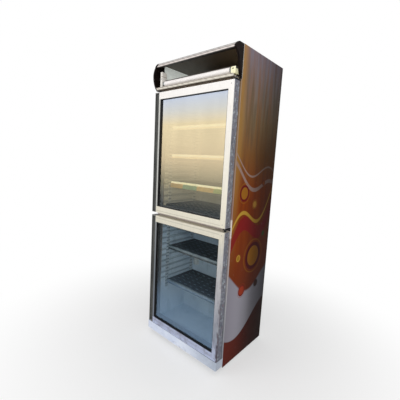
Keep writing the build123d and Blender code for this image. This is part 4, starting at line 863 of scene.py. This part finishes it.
def shelf_sheet(form, low, high, lip, columns, rows, slot):
    """Add a slotted sheet with its edges folded down: slots in columns and rows, each slot long by wide."""
    size = Vector(high) - Vector(low)
    made = bmesh.ops.create_grid(form, x_segments=2 * columns + 1, y_segments=2 * rows + 1, size=0.5)["verts"]
    webs = (
        (size[0] - columns * slot[0]) / (columns + 1),
        (size[1] - rows * slot[1]) / (rows + 1),
    )
    for corner in made:
        for axis, count in ((0, columns), (1, rows)):
            line = round((corner.co[axis] + 0.5) * (2 * count + 1))
            corner.co[axis] = low[axis] + (line + 1) // 2 * webs[axis] + line // 2 * slot[axis]
        corner.co[2] = high[2]
    holes = [
        face for face in form.faces
        if abs(max(c.co[0] for c in face.verts) - min(c.co[0] for c in face.verts) - slot[0]) < 1e-5
        and abs(max(c.co[1] for c in face.verts) - min(c.co[1] for c in face.verts) - slot[1]) < 1e-5
    ]
    bmesh.ops.delete(form, geom=holes, context="FACES_ONLY")
    rim = [
        edge for edge in form.edges
        if edge.is_boundary and any(
            abs(edge.verts[0].co[axis] - limit) < 1e-6 and abs(edge.verts[1].co[axis] - limit) < 1e-6
            for axis, limit in ((0, low[0]), (0, high[0]), (1, low[1]), (1, high[1]))
        )
    ]
    folded = bmesh.ops.extrude_edge_only(form, edges=rim)["geom"]
    lower_rim = [item for item in folded if isinstance(item, bmesh.types.BMVert)]
    bmesh.ops.translate(form, verts=lower_rim, vec=(0, 0, -lip))


sheet_thick = 0.0012
shelf_lip = 0.014
shelf_slots = (9, 6, (0.024, 0.006))
grille_slots = (11, 8, (0.034, 0.012))
shelf_names = ("upper_shelf_1", "upper_shelf_2", "upper_shelf_3", "lower_shelf_1", "lower_shelf_2")
for name, top in zip(shelf_names, shelf_tops):
    form = bmesh.new()
    shelf_sheet(form, (*shelf_low[:2], 0), (*shelf_high[:2], top), shelf_lip, *shelf_slots)
    thicken(piece(name, form, "cabinet", shelf_coat, ("shelves",)), sheet_thick)

grille_low, grille_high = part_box("base_grille")
form = bmesh.new()
shelf_sheet(form, (*grille_low[:2], 0), grille_high, grille_high[2] - grille_low[2], *grille_slots)
thicken(piece("floor_grille", form, "cabinet", shelf_coat, ("base_grille",)), sheet_thick)

# Faded label cards that hang in the lowest upper price rail
card_front = rails_low[1] - 0.0012
card_low = shelf_tops[0] - 0.042
card_high = shelf_tops[0] - 0.012
card_thick = 0.0008
card_curl = 0.0045
for number, (start, end, colour) in enumerate((
    (-0.272, -0.146, tone(252, 196, 104)),
    (-0.144, -0.010, tone(140, 186, 132)),
    (-0.008, 0.138, tone(255, 204, 112)),
    (0.140, 0.206, tone(206, 214, 120)),
), start=1):
    form = bmesh.new()
    corners = bmesh.ops.create_grid(form, x_segments=8, y_segments=6, size=0.5)["verts"]
    for corner in corners:
        share = corner.co[1] + 0.5
        corner.co = (
            start + (corner.co[0] + 0.5) * (end - start),
            card_front - card_curl * (1 - share) ** 2,
            card_low + share * (card_high - card_low),
        )
    name = f"label_card_{number}"
    thicken(piece(name, form, "cabinet", label_card(name, colour)), card_thick)

# Screws in the doors' hinge edges, as a share of the edge's height and a depth behind its front,
# in the doors' corners and in the mullion
edge_screws = ((0.035, 0.022), (0.22, 0.030), (0.56, 0.024), (0.68, 0.012), (0.88, 0.034), (0.965, 0.022))
for door, low, high in (("upper", stile_low, stile_high), ("lower", lower_stile_low, lower_stile_high)):
    length = high[2] - low[2]
    spots = [
        (door_side - 0.0009, door_front + depth, low[2] + share * length)
        for share, depth in edge_screws
    ]
    screws(f"{door}_door_edge_screws", f"{door}_door", dark_screw, (1, 0, 0), spots)
    spots = [(stile_low[0] + 0.018, door_front, z) for z in (low[2] + 0.020, high[2] - 0.020)]
    screws(f"{door}_door_corner_screws", f"{door}_door", zinc, (0, -1, 0), spots, 0.0026)

spots = [(x, mullion_low[1], (mullion_low[2] + mullion_high[2]) / 2) for x in (-0.20, -0.02, 0.20)]
screws("mullion_screws", "cabinet", dark_screw, (0, -1, 0), spots, 0.0030)

# Header caps: the left one bulges to the front, the right one falls back below its shoulder
bulged = (
    (front, 1.8125), (front, 2.0), (-0.2405, 2.0), (-0.2520, 1.9960), (-0.2615, 1.9875), (-0.2700, 1.9760),
    (-0.2735, 1.9630), (-0.2800, 1.9480), (-0.2845, 1.9320), (-0.2870, 1.9160), (-0.2875, 1.9030),
    (-0.2865, 1.8850), (-0.2835, 1.8680), (-0.2780, 1.8500), (-0.2690, 1.8320), (-0.2535, 1.8125),
)
fallen = (
    (front, 1.8125), (front, 2.0), (-0.2405, 2.0), (-0.2520, 1.9960), (-0.2615, 1.9875), (-0.2700, 1.9780),
    (-0.2732, 1.9680), (-0.2720, 1.9610), (-0.2640, 1.9545), (-0.2540, 1.9480), (-0.2460, 1.9400),
    (-0.2395, 1.9280), (-0.2340, 1.9120), (-0.2300, 1.8960), (-0.2270, 1.8800), (-0.2225, 1.8620),
    (-0.2165, 1.8450), (-0.2120, 1.8300), (-0.2080, 1.8125),
)
cap_face = half_width - 0.0014
cap_inner = half_width - 0.0155
cap_plate = 0.004
cap_rim = 0.009
for name, side, outline in (("left_header_cap", -1, bulged), ("right_header_cap", 1, fallen)):
    form = bmesh.new()
    corners = [(side * cap_face, y, z) for y, z in outline]
    inner = carried(form, corners, (side * (cap_inner - cap_face), 0, 0))
    bmesh.ops.inset_region(form, faces=[inner], thickness=cap_rim, use_even_offset=True)
    bmesh.ops.translate(form, verts=inner.verts, vec=(side * (cap_face - cap_inner - cap_plate), 0, 0))
    soften(form, 0.0008, 2, 0.9)
    piece(name, form, "cabinet", black_grain, ("header_caps",))

# Moulded ledges along the side walls of the two spaces
ledge_rise = 0.007
ledge_runs = ((-0.186, -0.154), (-0.134, 0.128))
for name, start, count in (
    ("upper_wall_ledges", upper_ledge_start, 15),
    ("lower_wall_ledges", lower_ledge_start, 10),
):
    form = bmesh.new()
    for step in range(count):
        base = start + step * ledge_pitch
        for side in (-1, 1):
            wall = side * mullion_high[0]
            outline = [
                (wall + 0.0002 * side, base - ledge_rise), (wall - 0.0045 * side, base - 0.0030),
                (wall - 0.0060 * side, base), (wall - 0.0045 * side, base + 0.0030),
                (wall + 0.0002 * side, base + ledge_rise),
            ]
            for near, far in ledge_runs:
                carried(form, [(x, near, z) for x, z in outline], (0, far - near, 0))
    piece(name, form, "cabinet", liner_finish)

# Light box: screws through the end caps, then the lamp with an end ring at each side, and its holders
cap_spots = [
    (cap_face, front + depth, header_base + rise)
    for depth, rise in ((-0.008, 0.040), (-0.012, 0.095), (-0.014, 0.158))
]
screws("right_cap_screws", "cabinet", dark_screw, (1, 0, 0), cap_spots)
screws("left_cap_screws", "cabinet", dark_screw, (-1, 0, 0), [(-x, y, z) for x, y, z in cap_spots])
form = bmesh.new()
stack(
    form, (tube_low[0], tube_place[1], tube_place[2]), (1, 0, 0), tube_radius,
    ((tube_high[0] - tube_low[0], 1.0),), sides=48,
)
piece("fluorescent_tube", form, "cabinet", lamp_white, ("lamp_tube",))
form = bmesh.new()
for end, out in ((tube_low[0], 1), (tube_high[0], -1)):
    stack(
        form, (end, tube_place[1], tube_place[2]), (out, 0, 0), tube_radius + 0.0004,
        ((0.010, 1.0), (0.0008, 0.97)), sides=48,
    )
piece("lamp_end_rings", form, "cabinet", zinc)

for name, low_x, high_x, top in (
    ("left_lamp_holder", holders_low[0], holders_low[0] + 0.018, holders_high[2]),
    ("right_lamp_holder", holders_high[0] - 0.018, holders_high[0], tube_place[2] + 0.010),
):
    form = bmesh.new()
    rounded_slab(form, (low_x, holders_low[1], holders_low[2]), (high_x, holders_high[1], top), 0.002)
    soften(form, 0.0008)
    piece(name, form, "cabinet", holder_paint, ("lamp_holders",))

# Cream end plate that stands in front of the right holder, with a screw, and a screw in the left holder
plate_front = tube_place[1] - tube_radius - 0.0018
plate_low = (0.2980, plate_front, 1.8325)
plate_high = (0.3300, plate_front + 0.0014, 1.8685)
form = bmesh.new()
rounded_slab(form, plate_low, plate_high, 0.0035)
piece("lamp_end_plate", form, "cabinet", holder_paint)
plate_spot = (0.3120, plate_front, 1.8590)
screws("end_plate_screw", "cabinet", dark_screw, (0, -1, 0), [plate_spot], 0.0038)
holder_spot = (holders_low[0] + 0.009, holders_low[1], tube_place[2] + 0.034)
screws("holder_screw", "cabinet", dark_screw, (0, -1, 0), [holder_spot], 0.0030)

# Back: screws round the louvred cover and down the edges of the back panel
cover_low, cover_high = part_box("rear_cover")
edge_in = 0.010
spots = [
    (x, cover_high[1] - 0.0011, z)
    for x in (cover_low[0] + edge_in, (cover_low[0] + cover_high[0]) / 2, cover_high[0] - edge_in)
    for z in (cover_low[2] + edge_in, cover_high[2] - edge_in)
]
screws("rear_cover_screws", "cabinet", zinc, (0, 1, 0), spots, 0.0042)
back_low, back_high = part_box("back_panel")
edge_count = 6
edge_run = back_high[2] - cover_high[2] - 0.10
spots = [
    (x, back_high[1], cover_high[2] + 0.06 + step * edge_run / (edge_count - 1))
    for x in (back_low[0] + 0.012, back_high[0] - 0.012)
    for step in range(edge_count)
]
screws("back_panel_screws", "cabinet", zinc, (0, 1, 0), spots, 0.0040)

# Screws in the legs of the top and middle hinges
hinge_low, hinge_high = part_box("middle_hinge")
top_hinge_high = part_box("top_hinge")[1]
leg_face = mullion_low[1] - 0.003
spots = [
    (x, leg_face, z)
    for x in (hinge_low[0] + 0.009, hinge_high[0] - 0.009)
    for z in (hinge_low[2] + 0.012, hinge_high[2] - 0.012, top_hinge_high[2] - 0.010)
]
screws("hinge_leg_screws", "cabinet", zinc, (0, -1, 0), spots, 0.0032)

# Control dish at the back: a scale round the thermostat knob, and words beside the switch
knob_low, knob_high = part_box("thermostat_knob")
switch_low, switch_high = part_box("light_switch")
dish_floor = 0.2625
mark_level = dish_floor + 0.0001
mark_white = plain_finish("mark_white", tone(240, 240, 236), tone(220, 220, 214), 200.0, 0.5)
knob_middle = (Vector(knob_low) + Vector(knob_high)) / 2
knob_middle[1] = mark_level
from_behind = Matrix(((-1, 0, 0, 0), (0, 0, 1, 0), (0, 1, 0, 0), (0, 0, 0, 1)))


def wording(form, words, size, place):
    """Add flat words that read from behind, centred on a place."""
    curve = bpy.data.curves.new("dial_words", "FONT")
    curve.body = words
    curve.size = size
    curve.align_x = "CENTER"
    curve.align_y = "CENTER"
    shown = bpy.data.objects.new("dial_words", curve)
    flat = bpy.data.meshes.new_from_object(shown)
    flat.transform(Matrix.Translation(place) @ from_behind)
    form.from_mesh(flat)
    bpy.data.objects.remove(shown)
    bpy.data.curves.remove(curve)
    bpy.data.meshes.remove(flat)


form = bmesh.new()
scale_steps = 12
dial_sweep = 300 / 360 * tau
tick_width = 0.0005
number_ring = 0.0236
for step in range(scale_steps + 1):
    around = Matrix.Rotation(-(step / scale_steps - 0.5) * dial_sweep, 4, "Z")
    long_tick = step % 2 == 0
    tick_ring, tick_length = (0.0194, 0.0030) if long_tick else (0.0190, 0.0018)
    bmesh.ops.create_grid(
        form, x_segments=1, y_segments=2, size=0.5,
        matrix=Matrix.Translation(knob_middle) @ from_behind @ around
        @ Matrix.Translation((0, tick_ring, 0)) @ Matrix.Diagonal((tick_width, tick_length, 1, 1)),
    )
    if long_tick:
        out = from_behind @ around @ Vector((0, number_ring, 0))
        wording(form, str(step // 2), 0.0042, knob_middle + out)
switch_middle = (switch_low[0] + switch_high[0]) / 2
word_gap = 0.0058
for words, height in (("ON", switch_high[2] + word_gap), ("OFF", switch_low[2] - word_gap)):
    wording(form, words, 0.0050, Vector((switch_middle, mark_level, height)))
piece("control_marks", form, "cabinet", mark_white)

# Camera at the photograph's place
photo_side = 400
focal_pixels = 276.804
camera = bpy.data.cameras.new("camera")
camera.sensor_width = 36.0
camera.lens = focal_pixels / photo_side * camera.sensor_width
viewer = bpy.data.objects.new("camera", camera)
bpy.context.collection.objects.link(viewer)
camera_place = (1.254868, -1.563856, 1.347587)
yaw, pitch, roll = 0.713810, -0.140627, -0.052984
viewer.matrix_world = (
    Matrix.Translation(camera_place)
    @ Matrix.Rotation(yaw, 4, "Z")
    @ Matrix.Rotation(pitch, 4, "X")
    @ Matrix.Rotation(roll, 4, "Y")
    @ Matrix.Rotation(pi / 2, 4, "X")
)
scene = bpy.context.scene
scene.camera = viewer
scene.view_settings.view_transform = "Standard"


# Studio: pale floor, white surroundings and soft lamps
def seen_directly(paint):
    """1 for the camera and for what mirrors and glass show."""
    camera_ray = paint.node("LightPath", output=0)
    glossy_ray = paint.node("LightPath", output=3)
    through_ray = paint.node("LightPath", output=6)
    return camera_ray.most(glossy_ray).most(through_ray)


def studio_floor():
    """Pale floor that keeps the shadow and fades to white away from the object."""
    paint = Paint("studio_floor")
    across, deep, _ = paint.axes()
    away = (across**2.0 + deep**2.0) ** 0.5
    matt = paint.shell(tone(245, 245, 245), 0.9, Specular_IOR_Level=0.1)
    white = paint.node("Emission", {}, {"Color": (1, 1, 1, 1), "Strength": 1.0})
    share = (0.45 + 0.55 * away.above(1.2, 1.4)) * seen_directly(paint)
    return paint.done(paint.node("MixShader", {}, {0: share, 1: matt, 2: white}))


form = bmesh.new()
bmesh.ops.create_circle(form, cap_ends=True, segments=64, radius=30.0)
mesh = bpy.data.meshes.new("studio_floor")
form.to_mesh(mesh)
form.free()
mesh.materials.append(studio_floor())
floor = bpy.data.objects.new("studio_floor", mesh)
bpy.context.collection.objects.link(floor)

world = bpy.data.worlds.new("studio")
scene.world = world
sky = Paint("studio", world)
brightness = 0.5 + 0.5 * seen_directly(sky)
background = sky.node("Background", {}, {"Color": (1, 1, 1, 1), "Strength": brightness})
sky.node("OutputWorld", {}, {"Surface": background})


def soft_lamp(name, place, aim, size, power):
    """A square soft lamp that points at a place, and that mirrors don't show."""
    light = bpy.data.lights.new(name, "AREA")
    light.shape = "SQUARE"
    light.size = size
    light.energy = power
    lamp = bpy.data.objects.new(name, light)
    lamp.visible_glossy = False
    bpy.context.collection.objects.link(lamp)
    lamp.matrix_world = (
        Matrix.Translation(place)
        @ (Vector(aim) - Vector(place)).to_track_quat("-Z", "Y").to_matrix().to_4x4()
    )


soft_lamp("front_left_lamp", (-2.2, -3.8, 2.6), (0, -0.2, 1.3), 2.0, 34)
soft_lamp("front_right_lamp", (2.8, -3.6, 2.0), (0, -0.2, 1.3), 2.0, 72)
soft_lamp("top_lamp", (0.4, -0.8, 4.2), (0, 0, 1.2), 2.2, 16)
